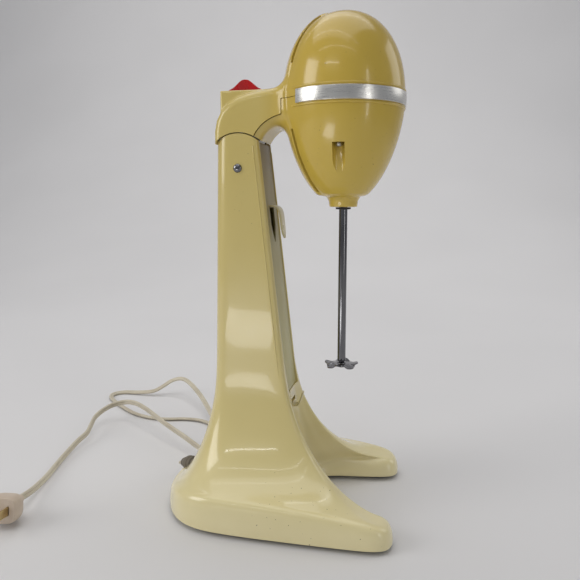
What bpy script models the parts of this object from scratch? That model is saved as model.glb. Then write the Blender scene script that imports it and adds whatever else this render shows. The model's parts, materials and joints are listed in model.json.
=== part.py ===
"""A drink mixer: an egg-shaped motor head on a forked stand, with a tilting neck.

Metres, +Z up. +X is the front, where the two feet and the rod are. +Y is the mixer's left.
The origin is on the floor, under the middle of the mixer (its cord and plug not counted).
"""

import math

import bmesh
import bpy
import numpy as np
from mathutils import Matrix, Vector

# ---------------------------------------------------------------- driving sizes
SPINDLE_X = 0.0460          # the rod's axis
HEAD_R = 0.0428             # the egg's largest radius
HEAD_MID_Z = 0.3038         # where the two halves of the egg meet
HEAD_TOP_Z = 0.3640
EGG_BOTTOM_Z = 0.2372
COLLAR_BOTTOM_Z = 0.2290
SHELL = 0.0024              # wall of the two housings
GAP = 0.0003                # between pieces that touch

PIN_X = SPINDLE_X - 0.0738  # the pin that the head tilts on
PIN_Z = 0.2565
PIN_R = 0.0026
COLUMN_TOP_R = 0.0244       # the column's rounded top, about the pin
NECK_FOOT_R = 0.0252        # the neck's hollow foot, about the pin
COLUMN_HALF_W = 0.0215      # the column's half width at its top
COLUMN_LOW_HALF_W = 0.0228  # and where it starts to flare
COLUMN_TOP_Z = 0.2870
FLARE_TOP_Z = 0.1080        # the flare into the base ends here
CASTING_WALL = 0.0030
FRONT_TOP_X = SPINDLE_X - 0.0590   # the column's front face at z = 0.277
FRONT_SLOPE = 0.1113               # how much it comes forward per metre down
BACK_TOP_X = SPINDLE_X - 0.0920
BACK_SLOPE = 0.0215

BASE_UNDER_Z = 0.0036       # underside of the casting
BASE_HALF_W = 0.0730
BASE_BACK_X = SPINDLE_X - 0.1345
FOOT_TIP_X = SPINDLE_X + 0.0425
FOOT_IN_Y = 0.0400          # inner face of a foot
NOTCH_X = SPINDLE_X - 0.0230       # back of the gap between the feet

ELBOW_X = SPINDLE_X - 0.0380       # centre of the arcs under the neck
ELBOW_Z = 0.2663
UNDER_R = 0.0220            # underside of the neck
SKIRT_R = 0.0273            # joint between the two housings on the neck
NECK_HALF_W = 0.0215
NECK_TOP_Z = 0.3110

CORD_R = 0.0025
TILT_ARM_HALF_W = 0.0080

# ---------------------------------------------------------------- scene and helpers
for old in list(bpy.data.objects):
    bpy.data.objects.remove(old, do_unlink=True)

part_set = bpy.data.collections.new("drink_mixer")
cutter_set = bpy.data.collections.new("cutters")
bpy.context.scene.collection.children.link(part_set)
bpy.context.scene.collection.children.link(cutter_set)
cutter_set.hide_render = True


def finish(name, colour, metallic=0.0, roughness=0.4):
    made = bpy.data.materials.new(name)
    made.use_nodes = True
    shader = made.node_tree.nodes["Principled BSDF"]
    shader.inputs["Base Color"].default_value = (*colour, 1.0)
    shader.inputs["Metallic"].default_value = metallic
    shader.inputs["Roughness"].default_value = roughness
    made.diffuse_color = (*colour, 1.0)
    return made


PAINT = (0.55, 0.42, 0.16)
STAND_PAINT = (0.62, 0.54, 0.30)
STEEL = (0.62, 0.62, 0.62)
BLACK = (0.02, 0.02, 0.02)


def to_object(name, mesh, material=None, smooth=True):
    """Links the mesh as a piece when it has a material, and as a cutter when it has none."""
    made = bpy.data.objects.new(name, mesh)
    if material:
        part_set.objects.link(made)
        mesh.materials.clear()
        mesh.materials.append(material)
    else:
        cutter_set.objects.link(made)
        made.hide_render = True
        made.display_type = "WIRE"
    for face in mesh.polygons:
        face.use_smooth = smooth
    return made


def from_bmesh(name, bm, material=None, smooth=False):
    bmesh.ops.recalc_face_normals(bm, faces=bm.faces)
    mesh = bpy.data.meshes.new(name)
    bm.to_mesh(mesh)
    bm.free()
    return to_object(name, mesh, material, smooth)


def bevel(made, width, segments=2, angle=35.0):
    edge = made.modifiers.new("bevel", "BEVEL")
    edge.width = width
    edge.segments = segments
    edge.limit_method = "ANGLE"
    edge.angle_limit = math.radians(angle)
    return made


def box(name, low, high, material=None, round_by=0.0, segments=2):
    bm = bmesh.new()
    bmesh.ops.create_cube(bm, size=1.0)
    low, high = Vector(low), Vector(high)
    for v in bm.verts:
        v.co = Vector([low[i] + (v.co[i] + 0.5) * (high[i] - low[i]) for i in range(3)])
    made = from_bmesh(name, bm, material)
    return bevel(made, round_by, segments) if round_by else made


def plate(name, outline, y0, y1, material=None, round_by=0.0, segments=2, angle=35.0):
    """A prism whose outline is in the X-Z plane, from y0 to y1."""
    bm = bmesh.new()
    face = bm.faces.new([bm.verts.new((x, y0, z)) for x, z in outline])
    grown = bmesh.ops.extrude_face_region(bm, geom=[face])
    for v in [g for g in grown["geom"] if isinstance(g, bmesh.types.BMVert)]:
        v.co.y = y1
    made = from_bmesh(name, bm, material)
    return bevel(made, round_by, segments, angle) if round_by else made


def slab(name, outline, z0, z1, material=None, round_by=0.0):
    """A prism whose outline is in the X-Y plane, from z0 to z1."""
    bm = bmesh.new()
    face = bm.faces.new([bm.verts.new((x, y, z0)) for x, y in outline])
    grown = bmesh.ops.extrude_face_region(bm, geom=[face])
    for v in [g for g in grown["geom"] if isinstance(g, bmesh.types.BMVert)]:
        v.co.z = z1
    made = from_bmesh(name, bm, material)
    return bevel(made, round_by) if round_by else made


def turned(name, profile, where, material=None, steps=32, axis="Z", smooth=True):
    """A turned piece. The profile is (radius, height) from the top down on the outer side."""
    mesh = bpy.data.meshes.new(name)
    closed = profile[0][0] > 1e-7
    count = len(profile)
    edges = [(i, i + 1) for i in range(count - 1)] + ([(count - 1, 0)] if closed else [])
    mesh.from_pydata([(r, 0.0, h) for r, h in profile], edges, [])
    made = to_object(name, mesh, material, smooth)
    spin = made.modifiers.new("turn", "SCREW")
    spin.axis = "Z"
    spin.steps = spin.render_steps = steps
    spin.use_merge_vertices = True
    spin.merge_threshold = 0.00001
    spin.use_smooth_shade = smooth
    made.location = where
    if axis == "Y":
        made.rotation_euler = (-math.pi / 2, 0.0, 0.0)
    if axis == "X":
        made.rotation_euler = (0.0, math.pi / 2, 0.0)
    return made


def disc(name, radius, z0, z1, where_xy, material=None, steps=24, bore=0.0, edge=0.0):
    """A plain or bored round piece with a small chamfer."""
    e = edge
    outer = [(radius - e, z1), (radius, z1 - e), (radius, z0 + e), (radius - e, z0)]
    if e <= 0:
        outer = [(radius, z1), (radius, z0)]
    inner = [(bore, z0), (bore, z1)] if bore else [(0.0, z0)]
    start = [] if bore else [(0.0, z1)]
    return turned(name, start + outer + inner, (*where_xy, 0.0), material, steps)


def rod_y(name, radius, y0, y1, x, z, material=None, steps=20, bore=0.0):
    """A round piece along Y, from y0 to y1."""
    profile = [(radius, y1), (radius, y0)]
    profile = profile + [(bore, y0), (bore, y1)] if bore else [(0.0, y1)] + profile + [(0.0, y0)]
    return turned(name, profile, (x, 0.0, z), material, steps, axis="Y")


def boolean(made, other, kind="DIFFERENCE"):
    step = made.modifiers.new(kind.lower() + "_" + other.name, "BOOLEAN")
    step.operation = kind
    step.solver = "EXACT"
    step.object = other
    return made


def arc(cx, cz, r, a0, a1, count):
    """Points of an arc, angles in degrees from +X towards +Z."""
    angles = np.radians(np.linspace(a0, a1, count))
    return [(cx + r * math.cos(a), cz + r * math.sin(a)) for a in angles]


# ---------------------------------------------------------------- finishes
paint = finish("head_enamel", PAINT, 0.0, 0.16)
stand_paint = finish("stand_enamel", STAND_PAINT, 0.0, 0.18)
panel_paint = finish("panel_enamel", STAND_PAINT, 0.0, 0.22)
silver = finish("brushed_silver", STEEL, 1.0, 0.30)
polished = finish("polished_steel", (0.75, 0.75, 0.76), 1.0, 0.12)
zinc = finish("zinc_steel", (0.55, 0.55, 0.53), 1.0, 0.38)
red = finish("red_plastic", (0.55, 0.01, 0.02), 0.0, 0.2)
rubber = finish("black_rubber", BLACK, 0.0, 0.75)
black_plastic = finish("black_plastic", (0.03, 0.03, 0.03), 0.0, 0.4)
nylon = finish("nylon", (0.75, 0.72, 0.64), 0.0, 0.45)
lamination = finish("laminated_iron", (0.25, 0.24, 0.23), 1.0, 0.5)
copper = finish("enamelled_copper", (0.60, 0.22, 0.08), 1.0, 0.35)
brass = finish("brass", (0.72, 0.52, 0.22), 1.0, 0.3)
carbon = finish("carbon", (0.05, 0.05, 0.05), 0.0, 0.7)
fibre = finish("fibre_board", (0.30, 0.10, 0.04), 0.0, 0.7)
bronze = finish("bronze", (0.45, 0.28, 0.12), 1.0, 0.4)
cord_skin = finish("cord_vinyl", (0.62, 0.56, 0.44), 0.0, 0.4)
gland_skin = finish("gland_vinyl", (0.24, 0.20, 0.15), 0.0, 0.5)
gland_plug = finish("plug_vinyl", (0.66, 0.55, 0.44), 0.0, 0.45)
bare_steel = finish("bare_steel", STEEL, 1.0, 0.35)


# ---------------------------------------------------------------- the stand
def front_face(z):
    return FRONT_TOP_X + (0.277 - z) * FRONT_SLOPE


def back_face(z):
    return BACK_TOP_X - (0.277 - z) * BACK_SLOPE


def column_half_width(z):
    t = (z - FLARE_TOP_Z) / (0.277 - FLARE_TOP_Z)
    return COLUMN_LOW_HALF_W + (COLUMN_HALF_W - COLUMN_LOW_HALF_W) * min(max(t, -0.3), 1.1)


# Eighteen stations run round one side of the stand: from the middle of its back, along the
# side, round the foot's tip, back along the foot's inner face, and to the middle of its front.
def base_stations(inset=0.0):
    """The base's outline, drawn in by inset."""
    w, tip, back = BASE_HALF_W - inset, FOOT_TIP_X - inset, BASE_BACK_X + inset
    inner, notch = FOOT_IN_Y + inset, NOTCH_X - inset
    return [
        (back, 0.0), (back + 0.0008, 0.205 * w), (back + 0.0046, 0.41 * w), (back + 0.0118, 0.62 * w),
        (back + 0.0222, 0.81 * w), (back + 0.0385, 0.945 * w), (back + 0.0620, 0.985 * w), (SPINDLE_X - 0.026, w),
        (SPINDLE_X + 0.008, w), (tip - 0.0070, w), (tip + 0.0012, 0.5 * (w + inner) + 0.0085),
        (tip + 0.0012, 0.5 * (w + inner) - 0.0085), (tip - 0.0060, inner + 0.0008),
        (SPINDLE_X + 0.004, inner - 0.0030), (SPINDLE_X - 0.0085, inner - 0.0045),
        (notch + 0.0016, inner - 0.0095), (notch - 0.0002, 0.44 * inner), (notch, 0.0),
    ]


def column_stations(z):
    """The column's outline at this height."""
    w, front, back = column_half_width(z), front_face(z), back_face(z)
    depth = front - back
    return [
        (back, 0.0), (back, 0.22 * w), (back + 0.0002, 0.46 * w), (back + 0.0016, 0.74 * w),
        (back + 0.0060, 0.955 * w), (back + 0.0120, 1.0 * w), (back + 0.45 * depth, w),
        (back + 0.68 * depth, w), (front - 0.0105, w), (front - 0.0052, w), (front - 0.0017, w - 0.0001),
        (front - 0.0001, w - 0.0017), (front, w - 0.0052), (front, w - 0.0085),
        (front, 0.48 * w), (front, 0.32 * w), (front, 0.16 * w), (front, 0.0),
    ]


# Height of the shoulder at each station: low at the back and on the feet, high at the sides.
SHOULDER_Z = [0.0130, 0.0135, 0.0160, 0.0205, 0.0245, 0.0265, 0.0270, 0.0255, 0.0225,
              0.0195, 0.0165, 0.0160, 0.0160, 0.0160, 0.0140, 0.0110, 0.0090, 0.0085]
# How steeply the flare leaves the shoulder: 0 is level.
FLARE_RISE = [0.26, 0.26, 0.25, 0.22, 0.18, 0.14, 0.12, 0.10, 0.07,
              0.04, 0.02, 0.02, 0.05, 0.10, 0.20, 0.25, 0.28, 0.28]


def stand_rings():
    """Control rings of the stand's surface, from the underside to the column's top."""
    shoulder = base_stations(0.0052)
    rings = [[(x, y, BASE_UNDER_Z) for x, y in base_stations()]]
    for drawn_in, share in ((0.0, 0.25), (0.0006, 0.66), (0.0016, 1.0)):
        ring = base_stations(drawn_in)
        rings.append([(x, y, BASE_UNDER_Z + share * (top - BASE_UNDER_Z)) for (x, y), top in zip(ring, SHOULDER_Z)])
    for h in (0.05, 0.22, 0.40, 0.57, 0.72, 0.84, 0.925, 0.975, 1.0):
        ring = []
        for j, (x, y) in enumerate(shoulder):
            z0 = SHOULDER_Z[j] + 0.0012
            rise = FLARE_RISE[j]
            v = rise * h + (1.0 - rise) * (1.0 - math.sqrt(1.0 - h * h))
            z = z0 + (FLARE_TOP_Z - z0) * v
            x1, y1 = column_stations(z)[j]
            x0, y0 = column_stations(z0)[j]
            ring.append((x1 + (x - x0) * (1.0 - h), y1 + (y - y0) * (1.0 - h), z))
        rings.append(ring)
    for z in (0.128, 0.165, 0.205, 0.245, 0.275, COLUMN_TOP_Z):
        rings.append([(x, y, z) for x, y in column_stations(z)])
    return rings


def hollow_rings(wall):
    """The stand's control rings moved in by the wall, and run out through its two ends."""
    net = np.array(stand_rings())
    mirror = net * (1.0, -1.0, 1.0)
    wide = np.concatenate([mirror[:, 1:2], net, mirror[:, -2:-1]], axis=1)
    tall = np.concatenate([2 * net[:1] - net[1:2], net, 2 * net[-1:] - net[-2:-1]])
    normal = np.cross(wide[:, 2:] - wide[:, :-2], tall[2:] - tall[:-2])
    normal /= np.linalg.norm(normal, axis=2, keepdims=True)
    inner = net + wall * normal
    inner[0, :, 2] = BASE_UNDER_Z - 0.0040
    inner[-1, :, 2] = COLUMN_TOP_Z + 0.0200
    inner[:, (0, -1), 1] = 0.0
    return inner.tolist()


def spline_rows(rows, cuts, closed):
    """A uniform cubic B-spline through the list of rows, cut into steps."""
    rows = np.array(rows, float)
    if closed:
        padded = np.concatenate([rows[-1:], rows, rows[:2]])
        spans = len(rows)
    else:
        padded = np.concatenate([[2 * rows[0] - rows[1]], rows, [2 * rows[-1] - rows[-2]]])
        spans = len(rows) - 1
    out = []
    for i in range(spans):
        a, b, c, d = padded[i:i + 4]
        for k in range(cuts):
            t = k / cuts
            out.append(((1 - t) ** 3 * a + (3 * t**3 - 6 * t**2 + 4) * b
                        + (-3 * t**3 + 3 * t**2 + 3 * t + 1) * c + t**3 * d) / 6)
    if not closed:
        out.append((padded[-3] + 4 * padded[-2] + padded[-1]) / 6)
    return np.array(out)


def loft(name, rings, across, along, material=None):
    """A closed solid through control rings, each given for one side and mirrored in Y."""
    full = []
    for ring in rings:
        side = [Vector(p) for p in ring]
        other = [Vector((p.x, -p.y, p.z)) for p in side[1:-1]][::-1]
        full.append([tuple(p) for p in side + other])
    grid = spline_rows(full, along, False)
    grid = spline_rows(grid.transpose(1, 0, 2), across, True).transpose(1, 0, 2)
    rows, columns = grid.shape[:2]
    bm = bmesh.new()
    verts = [[bm.verts.new(p) for p in row] for row in grid]
    for i in range(rows - 1):
        for j in range(columns):
            k = (j + 1) % columns
            bm.faces.new((verts[i][j], verts[i][k], verts[i + 1][k], verts[i + 1][j]))
    bm.faces.new(verts[0][::-1])
    bm.faces.new(verts[-1])
    bm.normal_update()
    bmesh.ops.triangulate(bm, faces=bm.faces)
    return from_bmesh(name, bm, material, smooth=True)


stand_shell = loft("stand_shell", stand_rings(), 2, 1, stand_paint)
stand_hollow = loft("stand_hollow", hollow_rings(CASTING_WALL), 1, 1)
boolean(stand_shell, stand_hollow)

# The column's top is an arc about the pin.
top_cut_outline = (
    [(PIN_X - 0.060, PIN_Z + 0.060), (PIN_X - 0.060, PIN_Z - 0.004), (PIN_X - COLUMN_TOP_R, PIN_Z - 0.004)]
    + arc(PIN_X, PIN_Z, COLUMN_TOP_R, 180.0, 0.0, 25)
    + [(PIN_X + COLUMN_TOP_R, PIN_Z - 0.004), (PIN_X + 0.060, PIN_Z - 0.004), (PIN_X + 0.060, PIN_Z + 0.060)]
)
boolean(stand_shell, plate("column_top_cut", top_cut_outline, -0.05, 0.05))
boolean(stand_shell, rod_y("column_pin_hole", PIN_R + 0.0002, -0.03, 0.03, PIN_X, PIN_Z, None, 16))


# The front panel lies in a seat in the column's front, over an opening into the hollow.
PANEL_TOP_Z = 0.2752
PANEL_LOW_Z = 0.0600
PANEL_HALF_W = 0.0168
PANEL_T = 0.0012
PANEL_SUNK = 0.0004
panel_tilt = math.atan(FRONT_SLOPE)


def on_front(z, out):
    """A point this far out from the column's front plane, square to it."""
    return (front_face(z) + out * math.cos(panel_tilt), z + out * math.sin(panel_tilt))


def sloping(name, z0, z1, out0, out1, half_w, material=None, round_by=0.0):
    """A sheet that follows the column's front."""
    outline = [on_front(z0, out0), on_front(z0, out1), on_front(z1, out1), on_front(z1, out0)]
    return plate(name, outline, -half_w, half_w, material, round_by)


seat = sloping("panel_seat", PANEL_LOW_Z - GAP, 0.2900, -PANEL_T - PANEL_SUNK - GAP, 0.010,
               PANEL_HALF_W + GAP)
front_opening = sloping("column_opening", PANEL_LOW_Z + 0.012, 0.2920, -0.012, 0.011,
                        PANEL_HALF_W - 0.0035)
boolean(stand_shell, seat)
boolean(stand_shell, front_opening)

front_panel = sloping("front_panel", PANEL_LOW_Z, PANEL_TOP_Z, -PANEL_T - PANEL_SUNK, -PANEL_SUNK,
                      PANEL_HALF_W, panel_paint)
boolean(front_panel, plate("panel_top_cut", top_cut_outline, -0.049, 0.049))

# Windows left in the sheet where the hook and the rest were pressed out.
HOOK_Z = 0.2300
REST_Z = 0.0780             # underside of the rest


def tongue(name, steps, half_w, tip_w, t, material=None):
    """A bent tongue: a sheet swept along (x, z) steps, narrowing from half_w to tip_w."""
    bm = bmesh.new()
    path = [Vector((x, 0.0, z)) for x, z in steps]
    rows = []
    for i, p in enumerate(path):
        a, b = path[max(i - 1, 0)], path[min(i + 1, len(path) - 1)]
        run = (b - a).normalized()
        side = Vector((-run.z, 0.0, run.x)) * t
        share = i / (len(path) - 1)
        w = half_w if share < 0.55 else half_w + (tip_w - half_w) * ((share - 0.55) / 0.45) ** 1.6
        rows.append([bm.verts.new(q) for q in (
            p + Vector((0, w, 0)), p + Vector((0, -w, 0)),
            p + side + Vector((0, -w, 0)), p + side + Vector((0, w, 0)))])
    for low, high in zip(rows, rows[1:]):
        for k in range(4):
            m = (k + 1) % 4
            bm.faces.new((low[k], low[m], high[m], high[k]))
    bm.faces.new(rows[0][::-1])
    bm.faces.new(rows[-1])
    return from_bmesh(name, bm, material, smooth=False)


HOOK_OUT = 0.0092
hx, hz = on_front(HOOK_Z, -PANEL_SUNK - 0.0008)
hook_steps = [(hx, hz + 0.0006), (hx + 0.0035, hz + 0.0004), (hx + 0.0062, hz - 0.0004),
              (hx + 0.0082, hz - 0.0024), (hx + 0.0092, hz - 0.0056), (hx + 0.0098, hz - 0.0110),
              (hx + 0.0104, hz - 0.0165), (hx + 0.0111, hz - 0.0210), (hx + 0.0118, hz - 0.0240)]
cup_hook = tongue("hook_tongue", hook_steps, 0.0070, 0.0012, -PANEL_T)
hook_window = plate("hook_window", [on_front(HOOK_Z - 0.0014, -0.006), on_front(HOOK_Z - 0.0014, 0.004),
                                    on_front(HOOK_Z - 0.0270, 0.004), on_front(HOOK_Z - 0.0270, -0.006)],
                    -0.0066, 0.0066)
rx, rz = on_front(REST_Z, -PANEL_SUNK - 0.0008)
rest_steps = [(rx, rz - 0.0012), (rx + 0.0026, rz - 0.0021), (rx + 0.0050, rz - 0.0018),
              (rx + 0.0066, rz + 0.0004), (rx + 0.0078, rz + 0.0036), (rx + 0.0087, rz + 0.0066),
              (rx + 0.0092, rz + 0.0088)]
cup_rest = tongue("rest_tongue", rest_steps, 0.0060, 0.0058, PANEL_T)
rest_window = plate("rest_window", [on_front(REST_Z + 0.0008, -0.006), on_front(REST_Z + 0.0008, 0.004),
                                    on_front(REST_Z + 0.0100, 0.004), on_front(REST_Z + 0.0100, -0.006)],
                    -0.0070, 0.0070)
for tag, side in (("r", -1.0), ("l", 1.0)):
    y0, y1 = sorted((side * 0.0061, side * 0.0070))
    boolean(front_panel, plate(f"rest_relief_{tag}", [
        on_front(REST_Z - 0.0080, -0.006), on_front(REST_Z - 0.0080, 0.004),
        on_front(REST_Z + 0.0020, 0.004), on_front(REST_Z + 0.0020, -0.006)], y0, y1))
boolean(front_panel, hook_window)
boolean(front_panel, rest_window)
boolean(front_panel, cup_hook, "UNION")
boolean(front_panel, cup_rest, "UNION")

# Under the base: a plate on four screws, and four rubber pads.
PLATE_TOP_Z = BASE_UNDER_Z + 0.0022
plate_ring = base_stations(CASTING_WALL + 0.0016)
plate_full = plate_ring + [(x, -y) for x, y in plate_ring[1:-1]][::-1]
plate_line = spline_rows([(x, y, 0.0) for x, y in plate_full], 2, True)[:, :2]
base_plate = slab("base_plate", [tuple(p) for p in plate_line], BASE_UNDER_Z + 0.0007, PLATE_TOP_Z, zinc)
PADS = {"fr": (SPINDLE_X + 0.0290, -0.0565), "fl": (SPINDLE_X + 0.0290, 0.0565),
        "rr": (SPINDLE_X - 0.1040, -0.0440), "rl": (SPINDLE_X - 0.1040, 0.0440)}
PAD_R = 0.0080
for tag, (px, py) in PADS.items():
    disc(f"foot_pad_{tag}", PAD_R, 0.0, BASE_UNDER_Z + 0.0004, (px, py), rubber, 24, 0.0, 0.0010)
SCREWS = {"a": (SPINDLE_X + 0.008, -0.0550), "b": (SPINDLE_X + 0.008, 0.0550),
          "c": (SPINDLE_X - 0.0800, -0.0520), "d": (SPINDLE_X - 0.0800, 0.0520)}
for tag, (px, py) in SCREWS.items():
    boolean(base_plate, disc(f"plate_hole_{tag}", 0.0017, 0.0, 0.0100, (px, py), None, 12))
    turned(f"plate_screw_{tag}",
           [(0.0, 0.0110), (0.0013, 0.0110), (0.0013, BASE_UNDER_Z + 0.0004), (0.0030, BASE_UNDER_Z + 0.0004),
            (0.0026, 0.0026), (0.0, 0.0022)], (px, py, 0.0), zinc, 12)

# ---------------------------------------------------------------- the pin and what is on it
dome = 0.0032
turned("hinge_pin",
       [(0.0, COLUMN_HALF_W + 0.0018), (0.0014, COLUMN_HALF_W + 0.0017), (0.0026, COLUMN_HALF_W + 0.0011),
        (dome, COLUMN_HALF_W + GAP), (PIN_R, COLUMN_HALF_W + GAP),
        (PIN_R, -COLUMN_HALF_W - GAP), (dome, -COLUMN_HALF_W - GAP), (0.0026, -COLUMN_HALF_W - 0.0011),
        (0.0014, -COLUMN_HALF_W - 0.0017), (0.0, -COLUMN_HALF_W - 0.0018)],
       (PIN_X, 0.0, PIN_Z), polished, 20, "Y")
WALL_IN_Y = COLUMN_HALF_W - CASTING_WALL - 0.0002
for tag, side in (("r", -1.0), ("l", 1.0)):
    y0, y1 = sorted((side * (TILT_ARM_HALF_W + GAP), side * (WALL_IN_Y - 0.0006)))
    rod_y(f"hinge_bushing_{tag}", 0.0056, y0, y1, PIN_X, PIN_Z, nylon, 20, PIN_R + 0.0003)

# A leaf spring on the column's back wall presses on the arm's heel.
spring_x = back_face(0.225) + CASTING_WALL + 0.0006
plate("tilt_spring", [(spring_x, 0.2080), (spring_x + 0.0007, 0.2080), (spring_x + 0.0017, 0.2340),
                      (spring_x + 0.0034, 0.2420), (spring_x + 0.0027, 0.2422), (spring_x + 0.0010, 0.2342)],
      -0.0045, 0.0045, bare_steel)
turned("tilt_spring_rivet", [(0.0, 0.0013), (0.0016, 0.0009), (0.0024, 0.0), (0.0, 0.0)],
       (spring_x + 0.0007 + GAP, 0.0, 0.2130), zinc, 12, "X")

# ---------------------------------------------------------------- the neck
# Outline of the whole neck in side view, from the foot of its back, over the elbow, to the egg.
neck_outline = (
    [(SPINDLE_X - 0.0920, 0.2580), (SPINDLE_X - 0.0918, 0.2830), (SPINDLE_X - 0.0903, 0.2905),
     (SPINDLE_X - 0.0868, 0.2972), (SPINDLE_X - 0.0815, 0.3025), (SPINDLE_X - 0.0750, 0.3063),
     (SPINDLE_X - 0.0680, 0.3085), (SPINDLE_X - 0.0600, 0.3098), (SPINDLE_X - 0.0500, 0.3108),
     (SPINDLE_X - 0.0300, 0.3118)]
    + [(SPINDLE_X - 0.0300, ELBOW_Z + UNDER_R)]
    + arc(ELBOW_X, ELBOW_Z, UNDER_R, 90.0, 180.0, 10)[0:]
    + [(ELBOW_X - UNDER_R, 0.2580)]
)
neck_inside = (
    [(SPINDLE_X - 0.0896, 0.2500), (SPINDLE_X - 0.0894, 0.2826), (SPINDLE_X - 0.0880, 0.2893),
     (SPINDLE_X - 0.0848, 0.2954), (SPINDLE_X - 0.0800, 0.3002), (SPINDLE_X - 0.0740, 0.3037),
     (SPINDLE_X - 0.0676, 0.3057), (SPINDLE_X - 0.0600, 0.3072), (SPINDLE_X - 0.0500, 0.3080),
     (SPINDLE_X - 0.0250, 0.3090), (SPINDLE_X - 0.0250, ELBOW_Z + UNDER_R + 0.0026)]
    + arc(ELBOW_X, ELBOW_Z, UNDER_R + 0.0026, 90.0, 180.0, 8)
    + [(ELBOW_X - UNDER_R - 0.0026, 0.2500)]
)
# Everything under the joint between the two housings.
skirt_start = math.degrees(math.acos((SPINDLE_X - 0.0418 - ELBOW_X) / SKIRT_R))
skirt_line = (
    [(SPINDLE_X + 0.070, HEAD_MID_Z), (SPINDLE_X - 0.0418, HEAD_MID_Z)]
    + arc(ELBOW_X, ELBOW_Z, SKIRT_R, skirt_start, 158.0, 9)
    + [(SPINDLE_X - 0.0646, 0.2700), (SPINDLE_X - 0.0646, 0.2000), (SPINDLE_X + 0.070, 0.2000)]
)


def shifted(line, by):
    """The joint line moved down and forward, for the gap."""
    return [(x + by, z - by) for x, z in line]


foot_arc = rod_y("neck_foot_arc", NECK_FOOT_R, -0.04, 0.04, PIN_X, PIN_Z, None, 64)
foot_arc_low = rod_y("neck_foot_arc_low", NECK_FOOT_R, -0.041, 0.041, PIN_X, PIN_Z, None, 64)
below_skirt = plate("below_skirt", skirt_line, -0.06, 0.06)
lower_keep = plate("lower_keep", shifted(skirt_line, GAP), -0.061, 0.061)


# ---------------------------------------------------------------- the egg
def dome_line(r, top, count):
    """Radius and height of the upper half, top first: a slightly squared ellipse."""
    out = []
    for a in np.radians(np.linspace(90.0, 0.0, count)):
        u = math.sin(a) ** (2 / 2.2)
        out.append((r * math.cos(a) ** (2 / 2.2) if a < 1.57 else 0.0, HEAD_MID_Z + (top - HEAD_MID_Z) * u))
    return out


def bowl_radius(z, r=HEAD_R):
    """The lower half narrows slowly at first, then to the flat round its collar."""
    return r * math.sqrt(max(1.0 - (max(HEAD_MID_Z - z, 0.0) / 0.0738) ** 1.66, 0.0))


spot = (SPINDLE_X, 0.0, 0.0)
dome_out = dome_line(HEAD_R, HEAD_TOP_Z, 13)
dome_in = dome_line(HEAD_R - SHELL, HEAD_TOP_Z - SHELL, 9)
upper_housing = turned(
    "upper_housing",
    dome_out[:-1] + [(HEAD_R, HEAD_MID_Z), (HEAD_R, HEAD_MID_Z - 0.0040), (0.0, HEAD_MID_Z - 0.0040)],
    spot, paint, 40)
upper_neck = plate("upper_neck", neck_outline, -NECK_HALF_W, NECK_HALF_W, None, 0.0050, 2, 50)
boolean(upper_housing, upper_neck, "UNION")
BLOCK_HALF_W = 0.0140
boolean(upper_housing, box("switch_block", (SPINDLE_X - 0.0885, -BLOCK_HALF_W, 0.2900),
                           (SPINDLE_X - 0.0480, BLOCK_HALF_W, 0.3120), None, 0.0006, 1), "UNION")
dome_hollow = turned("dome_hollow", dome_in[:-1] + [(HEAD_R - SHELL, HEAD_MID_Z - 0.01), (0.0, HEAD_MID_Z - 0.01)],
                     spot, None, 32)
neck_hollow = plate("neck_hollow", neck_inside, -NECK_HALF_W + SHELL, NECK_HALF_W - SHELL)
boolean(upper_housing, dome_hollow)
boolean(upper_housing, neck_hollow)
boolean(upper_housing, below_skirt)
boolean(upper_housing, foot_arc)

bowl_z = [HEAD_MID_Z, 0.2960, 0.2880, 0.2800, 0.2720, 0.2640, 0.2560, 0.2490, 0.2430, 0.2392]
bowl_out = [(bowl_radius(z), z) for z in bowl_z]
collar = [(0.0170, EGG_BOTTOM_Z), (0.0122, EGG_BOTTOM_Z - 0.0006), (0.0112, EGG_BOTTOM_Z - 0.0024),
          (0.0104, EGG_BOTTOM_Z - 0.0040), (0.0100, COLLAR_BOTTOM_Z + 0.0004), (0.0096, COLLAR_BOTTOM_Z)]
lower_housing = turned("lower_housing",
                       [(0.0, HEAD_MID_Z + 0.0040), (HEAD_R, HEAD_MID_Z + 0.0040)] + bowl_out + collar
                       + [(0.0, COLLAR_BOTTOM_Z)], spot, paint, 40)
lower_neck = plate("lower_neck", neck_outline, -NECK_HALF_W, NECK_HALF_W, None, 0.0040, 2, 50)
boolean(lower_housing, lower_neck, "UNION")
bowl_in = [(bowl_radius(z, HEAD_R - SHELL), z + 0.0015) for z in bowl_z[2:-1]]
bowl_hollow = turned("bowl_hollow",
                     [(0.0, HEAD_MID_Z + 0.01), (HEAD_R - SHELL, HEAD_MID_Z + 0.01), (HEAD_R - SHELL, 0.2960)]
                     + bowl_in + [(0.0150, 0.2405), (0.0, 0.2405)], spot, None, 32)
boolean(lower_housing, bowl_hollow)
boolean(lower_housing, plate("neck_hollow_low", neck_inside, -NECK_HALF_W + SHELL, NECK_HALF_W - SHELL))
boolean(lower_housing, lower_keep, "INTERSECT")
boolean(lower_housing, foot_arc_low)
boolean(lower_housing, disc("collar_bore", 0.0062, 0.2200, 0.2450, (SPINDLE_X, 0.0), None, 20))

# Recesses in the bowl's sides. A long screw goes up from each into a post of the upper housing.
RECESS_TOP_Z = 0.2722
RECESS_Y, RECESS_R = 0.0330, 0.0042
SCREW_Y = 0.0317


def channel(name, r, z0, z1, side):
    """A vertical channel with a round back, open towards the side."""
    at = (SPINDLE_X + 0.0004, side * RECESS_Y)
    far = side * 0.0480
    outline = [(at[0] + r * math.cos(a), at[1] - side * r * math.sin(a)) for a in np.radians(np.linspace(0, 180, 13))]
    return slab(name, outline + [(at[0] - r, far), (at[0] + r, far)], z0, z1)


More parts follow.
